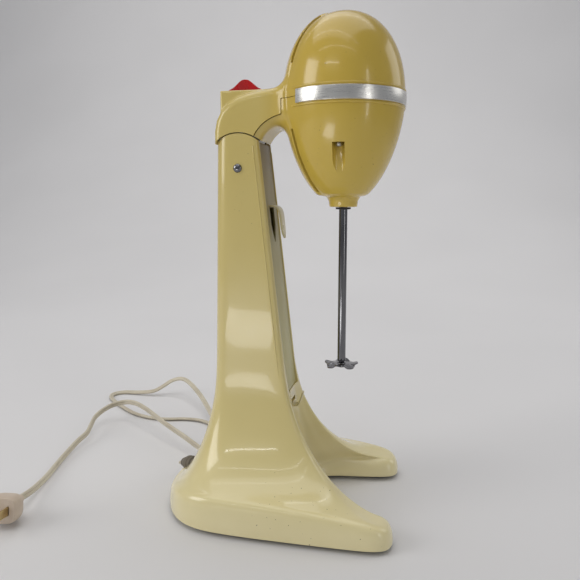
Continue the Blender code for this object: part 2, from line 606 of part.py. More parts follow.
for tag, side in (("r", -1.0), ("l", 1.0)):
    at = (SPINDLE_X + 0.0004, side * SCREW_Y)
    boolean(bowl_hollow, channel(f"recess_boss_{tag}", RECESS_R + 0.0020, 0.2360, RECESS_TOP_Z + 0.0020, side))
    boolean(lower_housing, channel(f"recess_{tag}", RECESS_R, 0.2400, RECESS_TOP_Z, side))
    boolean(lower_housing, disc(f"recess_hole_{tag}", 0.0017, 0.2700, 0.2760, at, None, 12))
    boolean(upper_housing, disc(f"screw_post_{tag}", 0.0028, RECESS_TOP_Z + 0.0020 + GAP, 0.3400, at, None, 14), "UNION")
    boolean(upper_housing, disc(f"post_bore_{tag}", 0.0016, 0.2700, 0.2880, at, None, 12))
    head_z = RECESS_TOP_Z - GAP
    turned(f"housing_screw_{tag}",
           [(0.0, 0.2865), (0.0012, 0.2865), (0.0012, head_z), (0.0024, head_z), (0.0025, head_z - 0.0010),
            (0.0020, head_z - 0.0022), (0.0, head_z - 0.0025)], (*at, 0.0), zinc, 14)

# The trim band runs round the front of the egg, and stops short of the neck on both sides.
BAND_LOW_Z, BAND_HIGH_Z = 0.2987, 0.3079
BAND_HALF_ANGLE = 133.0
band = turned("trim_band", [(HEAD_R + 0.0008, BAND_HIGH_Z), (HEAD_R + 0.0008, BAND_LOW_Z),
                            (HEAD_R + GAP, BAND_LOW_Z), (HEAD_R + GAP, BAND_HIGH_Z)], spot, silver, 48)
a0 = math.radians(BAND_HALF_ANGLE)
boolean(band, slab("band_cut", [(SPINDLE_X, 0.0), (SPINDLE_X + 0.09 * math.cos(a0), 0.09 * math.sin(a0)),
                                (SPINDLE_X - 0.12, 0.0), (SPINDLE_X + 0.09 * math.cos(a0), -0.09 * math.sin(a0))],
                   0.290, 0.320))

# ---------------------------------------------------------------- switch
SWITCH_X = SPINDLE_X - 0.0720
bell = [(-0.0142, 0.0), (-0.0125, 0.0011), (-0.0095, 0.0023), (-0.0070, 0.0041), (-0.0045, 0.0066),
        (-0.0025, 0.0080), (0.0, 0.0084), (0.0025, 0.0080), (0.0045, 0.0066), (0.0070, 0.0041),
        (0.0095, 0.0023), (0.0125, 0.0011), (0.0142, 0.0)]
SWITCH_Z = 0.3120 + GAP
switch_button = plate("switch_button", [(SWITCH_X + x, SWITCH_Z + z) for x, z in bell], -0.0062, 0.0062, red, 0.0008, 2, 60)
boolean(upper_housing, box("switch_slot", (SWITCH_X - 0.0060, -0.0022, 0.3000), (SWITCH_X + 0.0060, 0.0022, 0.3130)))
boolean(switch_button, box("switch_stem", (SWITCH_X - 0.0024, -0.0016, 0.3010), (SWITCH_X + 0.0024, 0.0016, 0.3136)),
        "UNION")
box("switch_body", (SPINDLE_X - 0.0795, -0.0070, 0.2925), (SPINDLE_X - 0.0645, 0.0070, 0.3003), black_plastic,
    0.0004, 1)

# ---------------------------------------------------------------- the arm that carries the head
arm_outline = (
    arc(PIN_X, PIN_Z, 0.0075, 160.0, 370.0, 15)
    + [(PIN_X + x, PIN_Z + z) for x, z in (
        (0.0130, 0.0204), (0.0156, 0.0262), (0.0200, 0.0322), (0.0268, 0.0362), (0.0370, 0.0372),
        (0.0465, 0.0372), (0.0465, 0.0450), (0.0180, 0.0450), (0.0150, 0.0400), (0.0098, 0.0290), (0.0076, 0.0230))]
)
tilt_arm = plate("tilt_arm", arm_outline, -TILT_ARM_HALF_W, TILT_ARM_HALF_W, zinc)
boolean(tilt_arm, rod_y("arm_bore", PIN_R + 0.00006, -0.02, 0.02, PIN_X, PIN_Z, None, 20))

# ---------------------------------------------------------------- motor
STACK_Z0, STACK_Z1 = 0.2840, 0.3040
stack = box("stator_stack", (SPINDLE_X - 0.0270, -0.0220, STACK_Z0), (SPINDLE_X + 0.0270, 0.0220, STACK_Z1),
            lamination, 0.0030, 1)
boolean(stack, disc("stack_bore", 0.0132, 0.27, 0.32, (SPINDLE_X, 0.0), None, 28))
for tag, side in (("front", 1.0), ("back", -1.0)):
    lo, hi = sorted((SPINDLE_X + side * 0.0166, SPINDLE_X + side * 0.0240))
    boolean(stack, box(f"coil_window_{tag}", (lo - 0.0004, -0.0154, 0.27), (hi + 0.0004, 0.0154, 0.32)))
    coil = box(f"field_coil_{tag}", (lo, -0.0150, STACK_Z0 - 0.0060), (hi, 0.0150, STACK_Z1 + 0.0060), copper,
               0.0016, 1)
BRACKET_BOTTOM = (0.2560, 0.2578)
BRACKET_TOP = (0.3320, 0.3338)
disc("motor_bracket_bottom", 0.0255, *BRACKET_BOTTOM, (SPINDLE_X, 0.0), zinc, 24, 0.0062)
disc("motor_bracket_top", 0.0240, *BRACKET_TOP, (SPINDLE_X, 0.0), zinc, 24, 0.0062)
for tag, (z0, z1) in (("bottom", (0.2520, 0.2610)), ("top", (0.3300, 0.3380))):
    turned(f"bearing_{tag}",
           [(0.0059, z1), (0.0059, z0), (0.00306, z0), (0.00306, z1)], spot, bronze, 20)
turned("motor_shaft", [(0.0, 0.3420), (0.0030, 0.3420), (0.0030, 0.2390), (0.0, 0.2390)], spot, polished, 20)
turned("armature_core", [(0.0126, 0.3036), (0.0126, 0.2844), (0.0031, 0.2844), (0.0031, 0.3036)],
       spot, lamination, 28)
turned("armature_windings", [(0.0092, 0.3102), (0.0108, 0.3092), (0.0108, 0.3040), (0.0033, 0.3040),
                             (0.0033, 0.3102)], spot, copper, 24)
turned("commutator", [(0.0080, 0.3226), (0.0080, 0.3112), (0.0031, 0.3112), (0.0031, 0.3226)], spot, copper, 24)
for tag, side in (("r", -1.0), ("l", 1.0)):
    rod_y(f"brush_{tag}", 0.0024, *sorted((side * 0.0084, side * 0.0170)), SPINDLE_X, 0.3170, carbon, 10)
    rod_y(f"brush_holder_{tag}", 0.0037, *sorted((side * 0.0120, side * 0.0270)), SPINDLE_X, 0.3170, brass, 14, 0.0027)
    rod_y(f"brush_spring_{tag}", 0.0021, *sorted((side * 0.0174, side * 0.0262)), SPINDLE_X, 0.3170, bare_steel, 10,
          0.0014)
fan = disc("cooling_fan", 0.0070, 0.2640, 0.2700, (SPINDLE_X, 0.0), black_plastic, 20, 0.0031)
fan_plate = disc("fan_plate", 0.0230, 0.2640, 0.2650, (SPINDLE_X, 0.0), None, 28, 0.0040)
boolean(fan, fan_plate, "UNION")
for k in range(6):
    a = math.radians(60 * k + 10)
    blade = box(f"fan_blade_{k}", (0.0060, -0.0005, 0.2645), (0.0220, 0.0005, 0.2720))
    blade.rotation_euler = (0.0, 0.0, a)
    blade.location = (SPINDLE_X, 0.0, 0.0)
    boolean(fan, blade, "UNION")

# ---------------------------------------------------------------- rod and agitator
ROD_R = 0.0031
turned("rod_seal", [(0.0056, COLLAR_BOTTOM_Z - GAP), (0.0056, COLLAR_BOTTOM_Z - 0.0016),
                    (ROD_R + 0.0004, COLLAR_BOTTOM_Z - 0.0016), (ROD_R + 0.0004, COLLAR_BOTTOM_Z - GAP)],
       spot, rubber, 24)
DISC_Z = 0.1110
turned("spindle_rod", [(0.0, 0.2387), (ROD_R, 0.2387), (ROD_R, DISC_Z + 0.0024), (0.0, DISC_Z + 0.0024)],
       spot, polished, 24)
bm = bmesh.new()
AGITATOR_R, LOBES = 0.0126, 8
around, steps_out = 48, (0.0016, 0.0050, 0.0085, 1.0)
rows = []
for part in steps_out:
    row = []
    for k in range(around):
        a = 2 * math.pi * k / around
        edge_r = AGITATOR_R * (1.0 - 0.10 * (0.5 - 0.5 * math.cos(LOBES * a)))
        r = edge_r if part == 1.0 else part
        lift = 0.0030 * (r / AGITATOR_R) ** 2 * math.cos(LOBES * a / 2)
        row.append(bm.verts.new((r * math.cos(a), r * math.sin(a), lift)))
    rows.append(row)
for low, high in zip(rows, rows[1:]):
    for k in range(around):
        m = (k + 1) % around
        bm.faces.new((low[k], high[k], high[m], low[m]))
agitator = from_bmesh("agitator", bm, polished, smooth=True)
agitator.location = (SPINDLE_X, 0.0, DISC_Z)
thick = agitator.modifiers.new("thickness", "SOLIDIFY")
thick.thickness = 0.0009
thick.offset = 0.0
turned("agitator_rivet", [(0.0, DISC_Z + 0.0021), (0.0012, DISC_Z + 0.0021), (0.0012, DISC_Z - 0.0008),
                          (0.0032, DISC_Z - 0.0010), (0.0026, DISC_Z - 0.0024), (0.0, DISC_Z - 0.0028)],
       spot, polished, 16)

# ---------------------------------------------------------------- cord
GLAND_X, GLAND_Y, GLAND_Z = SPINDLE_X - 0.1245, 0.0040, 0.0178
gland = turned("strain_relief",
               [(0.0, 0.0120), (0.0036, 0.0120), (0.0050, 0.0100), (0.0058, 0.0040), (0.0058, -0.0050),
                (0.0046, -0.0050), (0.0040, -0.0110), (0.0, -0.0110)],
               (GLAND_X, GLAND_Y, GLAND_Z), gland_skin, 20)
gland_way = Vector((-0.76, 0.60, -0.24)).normalized()
gland.rotation_euler = Vector((0.0, 0.0, 1.0)).rotation_difference(gland_way).to_euler()
gland_hole = turned("gland_hole", [(0.0, 0.02), (0.0060, 0.02), (0.0060, -0.02), (0.0, -0.02)],
                    (GLAND_X, GLAND_Y, GLAND_Z), None, 20)
gland_hole.rotation_euler = gland.rotation_euler
boolean(stand_shell, gland_hole)


def smooth_route(points, spacing):
    """Even points along a Catmull-Rom curve through the route."""
    p = np.array(points, float)
    p = np.concatenate([[2 * p[0] - p[1]], p, [2 * p[-1] - p[-2]]])
    fine = []
    for a, b, c, d in zip(p, p[1:], p[2:], p[3:]):
        for t in np.linspace(0.0, 1.0, 24, endpoint=False):
            fine.append(0.5 * (2 * b + (c - a) * t + (2 * a - 5 * b + 4 * c - d) * t * t
                               + (3 * b - a - 3 * c + d) * t**3))
    fine = np.array(fine + [p[-2]])
    run = np.concatenate([[0.0], np.cumsum(np.linalg.norm(np.diff(fine, axis=0), axis=1))])
    want = np.linspace(0.0, run[-1], max(int(run[-1] / spacing), 2) + 1)
    return np.stack([np.interp(want, run, fine[:, k]) for k in range(3)], 1)


def tube(name, points, radius, material):
    line = bpy.data.curves.new(name, "CURVE")
    line.dimensions = "3D"
    line.bevel_depth = radius
    line.bevel_resolution = 2
    line.use_fill_caps = True
    spline = line.splines.new("POLY")
    spline.points.add(len(points) - 1)
    for point, p in zip(spline.points, points):
        point.co = (*p, 1.0)
    made = bpy.data.objects.new(name, line)
    part_set.objects.link(made)
    line.materials.append(material)
    return made


cord_start = Vector((GLAND_X, GLAND_Y, GLAND_Z)) + gland_way * (0.0120 + 2 * GAP)
CORD_ROUTE = [
    tuple(cord_start), tuple(cord_start + 0.0040 * gland_way), (-0.0920, 0.0185, 0.0113), (-0.0895, 0.0262, 0.0080), (-0.0858, 0.0350, 0.0052),
    (-0.0836, 0.0460, 0.0034), (-0.0826, 0.0580, 0.0029), (-0.0826, 0.0710, 0.0029), (-0.0852, 0.0870, 0.0036),
    (-0.0910, 0.1060, 0.0062), (-0.1000, 0.1260, 0.0090), (-0.1050, 0.1350, 0.0096), (-0.1340, 0.1810, 0.0140),
    (-0.1580, 0.2080, 0.0205), (-0.1730, 0.2190, 0.0220), (-0.1860, 0.2200, 0.0185), (-0.1960, 0.2165, 0.0120),
    (-0.2080, 0.2135, 0.0060), (-0.2270, 0.2130, 0.0036), (-0.2450, 0.2125, 0.0028), (-0.2545, 0.2020, 0.0027),
    (-0.2460, 0.1850, 0.0027), (-0.2130, 0.1560, 0.0027), (-0.1940, 0.1440, 0.0027), (-0.1730, 0.1370, 0.0027),
    (-0.1560, 0.1375, 0.0027), (-0.1400, 0.1415, 0.0027), (-0.1230, 0.1410, 0.0027), (-0.1080, 0.1340, 0.0027),
    (-0.0920, 0.1250, 0.0030), (-0.0720, 0.1160, 0.0040), (-0.0530, 0.1070, 0.0060), (-0.0420, 0.0945, 0.0080),
    (-0.0460, 0.0820, 0.0095), (-0.0570, 0.0740, 0.0102), (-0.0680, 0.0640, 0.0105), (-0.0766, 0.0535, 0.0102),
    (-0.0856, 0.0512, 0.0096), (-0.0960, 0.0585, 0.0104), (-0.1110, 0.0702, 0.0122), (-0.1400, 0.0920, 0.0152),
    (-0.1710, 0.1175, 0.0185), (-0.1910, 0.1310, 0.0195), (-0.2060, 0.1350, 0.0180), (-0.2180, 0.1260, 0.0155),
    (-0.2220, 0.1060, 0.0122), (-0.2165, 0.0850, 0.0102), (-0.2115, 0.0680, 0.0086), (-0.2120, 0.0500, 0.0060),
    (-0.2070, 0.0160, 0.0040), (-0.2000, -0.0140, 0.0040), (-0.1955, -0.0350, 0.0052), (-0.1920, -0.0510, 0.0075),
    (-0.1900, -0.0660, 0.0100),
]
cord_line = np.concatenate([[CORD_ROUTE[0]], smooth_route(CORD_ROUTE[1:], 0.0140)])
tube("cord_tube", cord_line, CORD_R, cord_skin)

plug_way = Vector(cord_line[-1] - cord_line[-2]).normalized()
PLUG_BACK = Vector(CORD_ROUTE[-1]) + GAP * plug_way
plug_x = plug_way.cross(Vector((0.0, 0.0, 1.0))).normalized()
plug_up = plug_x.cross(plug_way).normalized()


plug_frame = Matrix.Translation(PLUG_BACK) @ Matrix((plug_x, plug_up, plug_way)).transposed().to_4x4()


def squircle(a, b, count, power):
    """Points of a superellipse."""
    out = []
    for t in np.linspace(0.0, 2 * math.pi, count, endpoint=False):
        c, s = math.cos(t), math.sin(t)
        out.append((a * math.copysign(abs(c) ** (2 / power), c), b * math.copysign(abs(s) ** (2 / power), s)))
    return out


# The plug is drawn along +Z, then turned so that +Z points out of its face.
PLUG_LENGTH = 0.0280
bm = bmesh.new()
rows = []
for z, a, b, power in ((0.0, 0.0036, 0.0030, 2.0), (0.0050, 0.0040, 0.0034, 2.0), (0.0085, 0.0056, 0.0048, 2.4),
                       (0.0115, 0.0092, 0.0076, 3.0), (0.0150, 0.0114, 0.0091, 3.6), (0.0200, 0.0120, 0.0095, 4.0),
                       (PLUG_LENGTH - 0.0016, 0.0120, 0.0095, 4.0), (PLUG_LENGTH, 0.0108, 0.0083, 4.0)):
    rows.append([bm.verts.new((x, y, z)) for x, y in squircle(a, b, 28, power)])
for low, high in zip(rows, rows[1:]):
    for k in range(28):
        m = (k + 1) % 28
        bm.faces.new((low[k], low[m], high[m], high[k]))
bm.faces.new(rows[0][::-1])
bm.faces.new(rows[-1])
plug_body = from_bmesh("plug_body", bm, gland_plug, smooth=True)
plug_body.matrix_world = plug_frame
for tag, side in (("a", -1.0), ("b", 1.0)):
    x0, x1 = side * 0.00635 - 0.00075, side * 0.00635 + 0.00075
    blade = box(f"plug_blade_{tag}", (x0, -0.0031, PLUG_LENGTH - 0.0060), (x1, 0.0031, PLUG_LENGTH + 0.0160), brass,
                0.0003, 1)
    blade.matrix_world = plug_frame
    hole = box(f"blade_hole_{tag}", (x0 - GAP, -0.0031 - GAP, PLUG_LENGTH - 0.0060 - GAP),
               (x1 + GAP, 0.0031 + GAP, PLUG_LENGTH + 0.0100))
    hole.matrix_world = plug_frame
    boolean(plug_body, hole)

# The cord goes on inside the stand, up to the neck.
inner_start = Vector((GLAND_X, GLAND_Y, GLAND_Z)) - gland_way * (0.0110 + 2 * GAP)
LEAD_ROUTE = [tuple(inner_start - 0.0040 * gland_way), (-0.0560, -0.0070, 0.0265), (-0.0430, -0.0040, 0.0380), (-0.0350, 0.0, 0.0580),
              (-0.0300, 0.0, 0.1000), (-0.0290, 0.0, 0.1500), (-0.0280, 0.0, 0.2000), (-0.0270, 0.0, 0.2400)]
lead_line = np.concatenate([[tuple(inner_start)], smooth_route(LEAD_ROUTE, 0.0120)])
tube("inner_lead", lead_line, 0.0022, cord_skin)
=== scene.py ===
"""A drink mixer on a pale floor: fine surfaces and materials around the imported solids."""

import json
import math

import bmesh
import bpy
import numpy as np
from mathutils import Matrix, Vector
from mathutils.bvhtree import BVHTree

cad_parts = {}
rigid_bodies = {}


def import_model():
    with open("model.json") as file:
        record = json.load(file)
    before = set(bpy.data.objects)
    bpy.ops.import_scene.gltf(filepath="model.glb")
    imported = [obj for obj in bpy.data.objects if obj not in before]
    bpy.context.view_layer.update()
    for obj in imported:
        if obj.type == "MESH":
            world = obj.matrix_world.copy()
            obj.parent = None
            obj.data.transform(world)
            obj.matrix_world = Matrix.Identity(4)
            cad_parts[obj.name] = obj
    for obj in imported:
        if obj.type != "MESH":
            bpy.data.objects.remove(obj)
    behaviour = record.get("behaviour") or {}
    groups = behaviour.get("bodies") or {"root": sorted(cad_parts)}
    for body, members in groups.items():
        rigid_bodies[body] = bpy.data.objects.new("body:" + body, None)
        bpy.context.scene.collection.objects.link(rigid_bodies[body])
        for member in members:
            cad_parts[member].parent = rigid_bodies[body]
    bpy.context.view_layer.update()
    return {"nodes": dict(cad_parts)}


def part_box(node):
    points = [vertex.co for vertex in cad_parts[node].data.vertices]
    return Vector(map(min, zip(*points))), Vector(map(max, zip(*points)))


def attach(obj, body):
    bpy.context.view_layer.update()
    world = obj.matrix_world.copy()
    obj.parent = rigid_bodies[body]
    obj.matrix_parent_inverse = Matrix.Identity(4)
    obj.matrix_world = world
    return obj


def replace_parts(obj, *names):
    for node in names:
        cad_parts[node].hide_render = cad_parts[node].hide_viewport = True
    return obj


for old in list(bpy.data.objects):
    bpy.data.objects.remove(old, do_unlink=True)
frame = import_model()
scene = bpy.context.scene

# ---- sizes in metres, as the solids have them
SPINDLE_X = 0.046
HEAD_R, HEAD_MID_Z, HEAD_TOP_Z = 0.0428, 0.3038, 0.364
EGG_BOTTOM_Z, COLLAR_BOTTOM_Z = 0.2372, 0.229
PIN_X, PIN_Z = SPINDLE_X - 0.0738, 0.2565
COLUMN_TOP_R, NECK_FOOT_R = 0.0244, 0.0252
COLUMN_HALF_W, COLUMN_LOW_HALF_W, COLUMN_TOP_Z, FLARE_TOP_Z = 0.0215, 0.0228, 0.287, 0.108
CASTING_WALL = 0.003
FRONT_TOP_X, FRONT_SLOPE = SPINDLE_X - 0.059, 0.1113
BACK_TOP_X, BACK_SLOPE = SPINDLE_X - 0.092, 0.0215
BASE_UNDER_Z, BASE_HALF_W = 0.0036, 0.073
BASE_BACK_X, FOOT_TIP_X = SPINDLE_X - 0.1345, SPINDLE_X + 0.0425
FOOT_IN_Y, NOTCH_X = 0.04, SPINDLE_X - 0.023
ELBOW_X, ELBOW_Z, UNDER_R, SKIRT_R = SPINDLE_X - 0.038, 0.2663, 0.022, 0.0273
NECK_HALF_W = 0.0215
GAP = 0.0003            # between pieces that touch

# ---- camera
cam_data = bpy.data.cameras.new("camera")
cam_data.sensor_width = 36.0
cam_data.lens = 37.397
cam_data.clip_start, cam_data.clip_end = 0.01, 50.0
camera = bpy.data.objects.new("camera", cam_data)
scene.collection.objects.link(camera)
camera.location = (0.0982, -0.4445, 0.2321)
aim = Vector((0.0061, 0.0, 0.1663)) - camera.location
camera.rotation_euler = aim.to_track_quat("-Z", "Y").to_euler()
scene.camera = camera


# ---- mesh helpers
def link(name, mesh):
    made = bpy.data.objects.new(name, mesh)
    scene.collection.objects.link(made)
    mesh.shade_smooth()
    return made


def from_bmesh(name, bm):
    bmesh.ops.recalc_face_normals(bm, faces=bm.faces)
    mesh = bpy.data.meshes.new(name)
    bm.to_mesh(mesh)
    bm.free()
    return link(name, mesh)


def skin(bm, rings, capped=True):
    """Faces from one closed ring of vertices to the next, and two end caps, which it returns."""
    for low, high in zip(rings, rings[1:]):
        for k in range(len(low)):
            m = (k + 1) % len(low)
            bm.faces.new((low[k], low[m], high[m], high[k]))
    return [bm.faces.new(rings[0][::-1]), bm.faces.new(rings[-1])] if capped else []


def skinned(name, rings):
    """A closed piece over rings of points."""
    bm = bmesh.new()
    skin(bm, [[bm.verts.new(p) for p in ring] for ring in rings])
    return from_bmesh(name, bm)


def around(count):
    """Even angles once round."""
    return np.linspace(0.0, 2 * math.pi, count, endpoint=False)


def settle(made):
    """Applies the piece's modifiers."""
    bpy.context.view_layer.update()
    graph = bpy.context.evaluated_depsgraph_get()
    done = bpy.data.meshes.new_from_object(made.evaluated_get(graph))
    done.name = made.name
    made.modifiers.clear()
    made.data = done
    return made


def bevel(made, width, segments=3, angle=35.0):
    edge = made.modifiers.new("bevel", "BEVEL")
    edge.width, edge.segments, edge.limit_method = width, segments, "ANGLE"
    edge.angle_limit = math.radians(angle)
    return settle(made)


def boolean(made, other, kind="DIFFERENCE", solver="MANIFOLD"):
    """Cuts other from made, or joins or intersects the two, and removes other."""
    step = made.modifiers.new("cut", "BOOLEAN")
    step.operation, step.solver, step.object = kind, solver, other
    settle(made)
    bpy.data.objects.remove(other, do_unlink=True)
    return made


def sharpen(made, degrees=32.0):
    """Smooth shading, with the edges that turn by more than degrees kept sharp."""
    made.data.shade_smooth()
    made.data.set_sharp_from_angle(angle=math.radians(degrees))
    return made


def box(name, low, high, round_by=0.0):
    bm = bmesh.new()
    bmesh.ops.create_cube(bm, size=1.0)
    for v in bm.verts:
        v.co = Vector([low[i] + (v.co[i] + 0.5) * (high[i] - low[i]) for i in range(3)])
    made = from_bmesh(name, bm)
    return bevel(made, round_by) if round_by else made


def prism(name, outline, y0, y1, round_by=0.0, segments=3, angle=50.0):
    """A closed (x, z) outline carried from y0 to y1."""
    bm = bmesh.new()
    face = bm.faces.new([bm.verts.new((x, y0, z)) for x, z in outline])
    grown = bmesh.ops.extrude_face_region(bm, geom=[face])
    for v in [g for g in grown["geom"] if isinstance(g, bmesh.types.BMVert)]:
        v.co.y = y1
    bm.normal_update()
    made = from_bmesh(name, bm)
    return bevel(made, round_by, segments, angle) if round_by else made


def turned(name, profile, where=(0.0, 0.0, 0.0), steps=96, axis="Z"):
    """A closed turned piece from (radius, height) points, top down.

    The profile starts and ends on the axis, or else closes on itself."""
    bm = bmesh.new()
    on_axis = 1e-7
    rings = []
    for r, h in profile:
        if r < on_axis:
            rings.append([bm.verts.new((0.0, 0.0, h))])
        else:
            rings.append([bm.verts.new((r * math.cos(t), r * math.sin(t), h)) for t in around(steps)])
    pairs = list(zip(rings, rings[1:]))
    if profile[0][0] > on_axis:
        pairs.append((rings[-1], rings[0]))
    for up, low in pairs:
        for k in range(steps):
            m = (k + 1) % steps
            if len(up) == 1:
                bm.faces.new((up[0], low[k], low[m]))
            elif len(low) == 1:
                bm.faces.new((up[k], low[0], up[m]))
            else:
                bm.faces.new((up[k], low[k], low[m], up[m]))
    made = from_bmesh(name, bm)
    turn = {"Z": Matrix.Identity(4), "Y": Matrix.Rotation(-math.pi / 2, 4, "X"),
            "X": Matrix.Rotation(math.pi / 2, 4, "Y")}[axis]
    made.data.transform(Matrix.Translation(where) @ turn)
    return made


def cylinder(name, r, half, where=(0.0, 0.0, 0.0), steps=96, axis="Z"):
    return turned(name, [(0.0, half), (r, half), (r, -half), (0.0, -half)], where, steps, axis)


def rounded(points, radius):
    """A profile with its corners rounded."""
    out = [points[0]]
    for a, b, c in zip(points, points[1:], points[2:]):
        a, b, c = Vector(a), Vector(b), Vector(c)
        r = min(radius, 0.45 * (a - b).length, 0.45 * (c - b).length)
        p, q = b + (a - b).normalized() * r, b + (c - b).normalized() * r
        for t in np.linspace(0.0, 1.0, 4):
            out.append(tuple((1 - t) ** 2 * p + 2 * t * (1 - t) * b + t * t * q))
    return out + [points[-1]]


def arc(cx, cz, r, a0, a1, count):
    """Points of an arc from a0 to a1 degrees."""
    angles = np.radians(np.linspace(a0, a1, count))
    return [(cx + r * math.cos(a), cz + r * math.sin(a)) for a in angles]


def borrow_normals(made, source, within=0.00006, turn_limit=0.75):
    """Gives the parts of made that lie on source its smooth normals, so that cuts leave no shading marks."""
    mesh, src = made.data, source.data
    co = [v.co for v in src.vertices]
    normals = [v.normal.copy() for v in src.vertices]
    corners = [list(p.vertices) for p in src.polygons]
    tree = BVHTree.FromPolygons(co, corners)
    found = {}
    for v in mesh.vertices:
        where, _, index, far = tree.find_nearest(v.co)
        if index is None or far > within:
            continue
        ids = corners[index]
        weights = [1.0 / ((co[i] - where).length + 1e-6) ** 2 for i in ids]
        total = Vector((0.0, 0.0, 0.0))
        for i, w in zip(ids, weights):
            total += normals[i] * w
        found[v.index] = total.normalized()
    sharpen(made, 30.0)
    loops = [Vector(n.vector) for n in mesh.corner_normals]
    for p in mesh.polygons:
        for li in p.loop_indices:
            n = found.get(mesh.loops[li].vertex_index)
            if n is not None and n.dot(p.normal) > turn_limit:
                loops[li] = n
    mesh.normals_split_custom_set([tuple(n) for n in loops])
    return made


# ---- the stand's loft
def front_face(z):
    return FRONT_TOP_X + (0.277 - z) * FRONT_SLOPE


def back_face(z):
    return BACK_TOP_X - (0.277 - z) * BACK_SLOPE


def column_half_width(z):
    t = (z - FLARE_TOP_Z) / (0.277 - FLARE_TOP_Z)
    return COLUMN_LOW_HALF_W + (COLUMN_HALF_W - COLUMN_LOW_HALF_W) * min(max(t, -0.3), 1.1)


def base_stations(inset=0.0):
    """Half of the base's outline, from the heel round a foot to the notch, drawn in by inset."""
    w, tip, back = BASE_HALF_W - inset, FOOT_TIP_X - inset, BASE_BACK_X + inset
    inner, notch = FOOT_IN_Y + inset, NOTCH_X - inset
    return [
        (back, 0.0), (back + 0.0008, 0.205 * w), (back + 0.0046, 0.41 * w), (back + 0.0118, 0.62 * w),
        (back + 0.0222, 0.81 * w), (back + 0.0385, 0.945 * w), (back + 0.062, 0.985 * w),
        (SPINDLE_X - 0.026, w), (SPINDLE_X + 0.008, w),
        (tip - 0.007, w), (tip + 0.0012, 0.5 * (w + inner) + 0.0085),
        (tip + 0.0012, 0.5 * (w + inner) - 0.0085), (tip - 0.006, inner + 0.0008),
        (SPINDLE_X + 0.004, inner - 0.003), (SPINDLE_X - 0.0085, inner - 0.0045),
        (notch + 0.0016, inner - 0.0095), (notch - 0.0002, 0.44 * inner), (notch, 0.0),
    ]


def column_stations(z):
    """Half of the column's section at height z, with a station for each one of the base."""
    w, front, back = column_half_width(z), front_face(z), back_face(z)
    depth = front - back
    return [
        (back, 0.0), (back, 0.22 * w), (back + 0.0002, 0.46 * w), (back + 0.0016, 0.74 * w),
        (back + 0.006, 0.955 * w), (back + 0.012, 1.0 * w), (back + 0.45 * depth, w),
        (back + 0.68 * depth, w), (front - 0.0105, w), (front - 0.0052, w), (front - 0.0017, w - 0.0001),
        (front - 0.0001, w - 0.0017), (front, w - 0.0052), (front, w - 0.0085),
        (front, 0.48 * w), (front, 0.32 * w), (front, 0.16 * w), (front, 0.0),
    ]


# The height of the base's shoulder at each station, and how much of the flare's rise is even there.
SHOULDER_Z = [0.013, 0.0135, 0.016, 0.0205, 0.0245, 0.0265, 0.027, 0.0255, 0.0225,
              0.0195, 0.0165, 0.016, 0.016, 0.016, 0.014, 0.011, 0.009, 0.0085]
FLARE_RISE = [0.26, 0.26, 0.25, 0.22, 0.18, 0.14, 0.12, 0.1, 0.07,
              0.04, 0.02, 0.02, 0.05, 0.1, 0.2, 0.25, 0.28, 0.28]


def rounder_toe(inset, toe_inset):
    """The base's outline with its toe, which is stations 9 to 13, drawn in by its own amount."""
    ring = base_stations(inset)
    ring[9:14] = base_stations(toe_inset)[9:14]
    return ring


def stand_rings():
    """The casting's half sections, from the underside to above the column's top."""
    shoulder = rounder_toe(0.0052, 0.0088)
    rings = [[(x, y, BASE_UNDER_Z) for x, y in base_stations()]]
    for drawn_in, toe_in, share in ((0.0, 0.0, 0.25), (0.0006, 0.001, 0.66), (0.0016, 0.0042, 1.0)):
        rings.append([(x, y, BASE_UNDER_Z + share * (top - BASE_UNDER_Z))
                      for (x, y), top in zip(rounder_toe(drawn_in, toe_in), SHOULDER_Z)])
    for h in (0.05, 0.22, 0.4, 0.57, 0.72, 0.84, 0.925, 0.975, 1.0):
        ring = []
        for j, (x, y) in enumerate(shoulder):
            z0 = SHOULDER_Z[j] + 0.0012
            rise = FLARE_RISE[j]
            v = rise * h + (1.0 - rise) * (1.0 - math.sqrt(1.0 - h * h))
            z = z0 + (FLARE_TOP_Z - z0) * v
            x1, y1 = column_stations(z)[j]
            x0, y0 = column_stations(z0)[j]
            ring.append((x1 + (x - x0) * (1.0 - h), y1 + (y - y0) * (1.0 - h), z))
        rings.append(ring)
    for z in (0.128, 0.165, 0.205, 0.245, 0.275, COLUMN_TOP_Z):
        rings.append([(x, y, z) for x, y in column_stations(z)])
    return rings


def hollow_rings(wall):
    """The same sections, moved in along the surface's normals by wall."""
    net = np.array(stand_rings())
    mirror = net * (1.0, -1.0, 1.0)
    wide = np.concatenate([mirror[:, 1:2], net, mirror[:, -2:-1]], axis=1)
    tall = np.concatenate([2 * net[:1] - net[1:2], net, 2 * net[-1:] - net[-2:-1]])
    normal = np.cross(wide[:, 2:] - wide[:, :-2], tall[2:] - tall[:-2])
    normal /= np.linalg.norm(normal, axis=2, keepdims=True)
    inner = net + wall * normal
    inner[0, :, 2] = BASE_UNDER_Z - 0.004
    inner[-1, :, 2] = COLUMN_TOP_Z + 0.02
    inner[:, (0, -1), 1] = 0.0
    return inner.tolist()


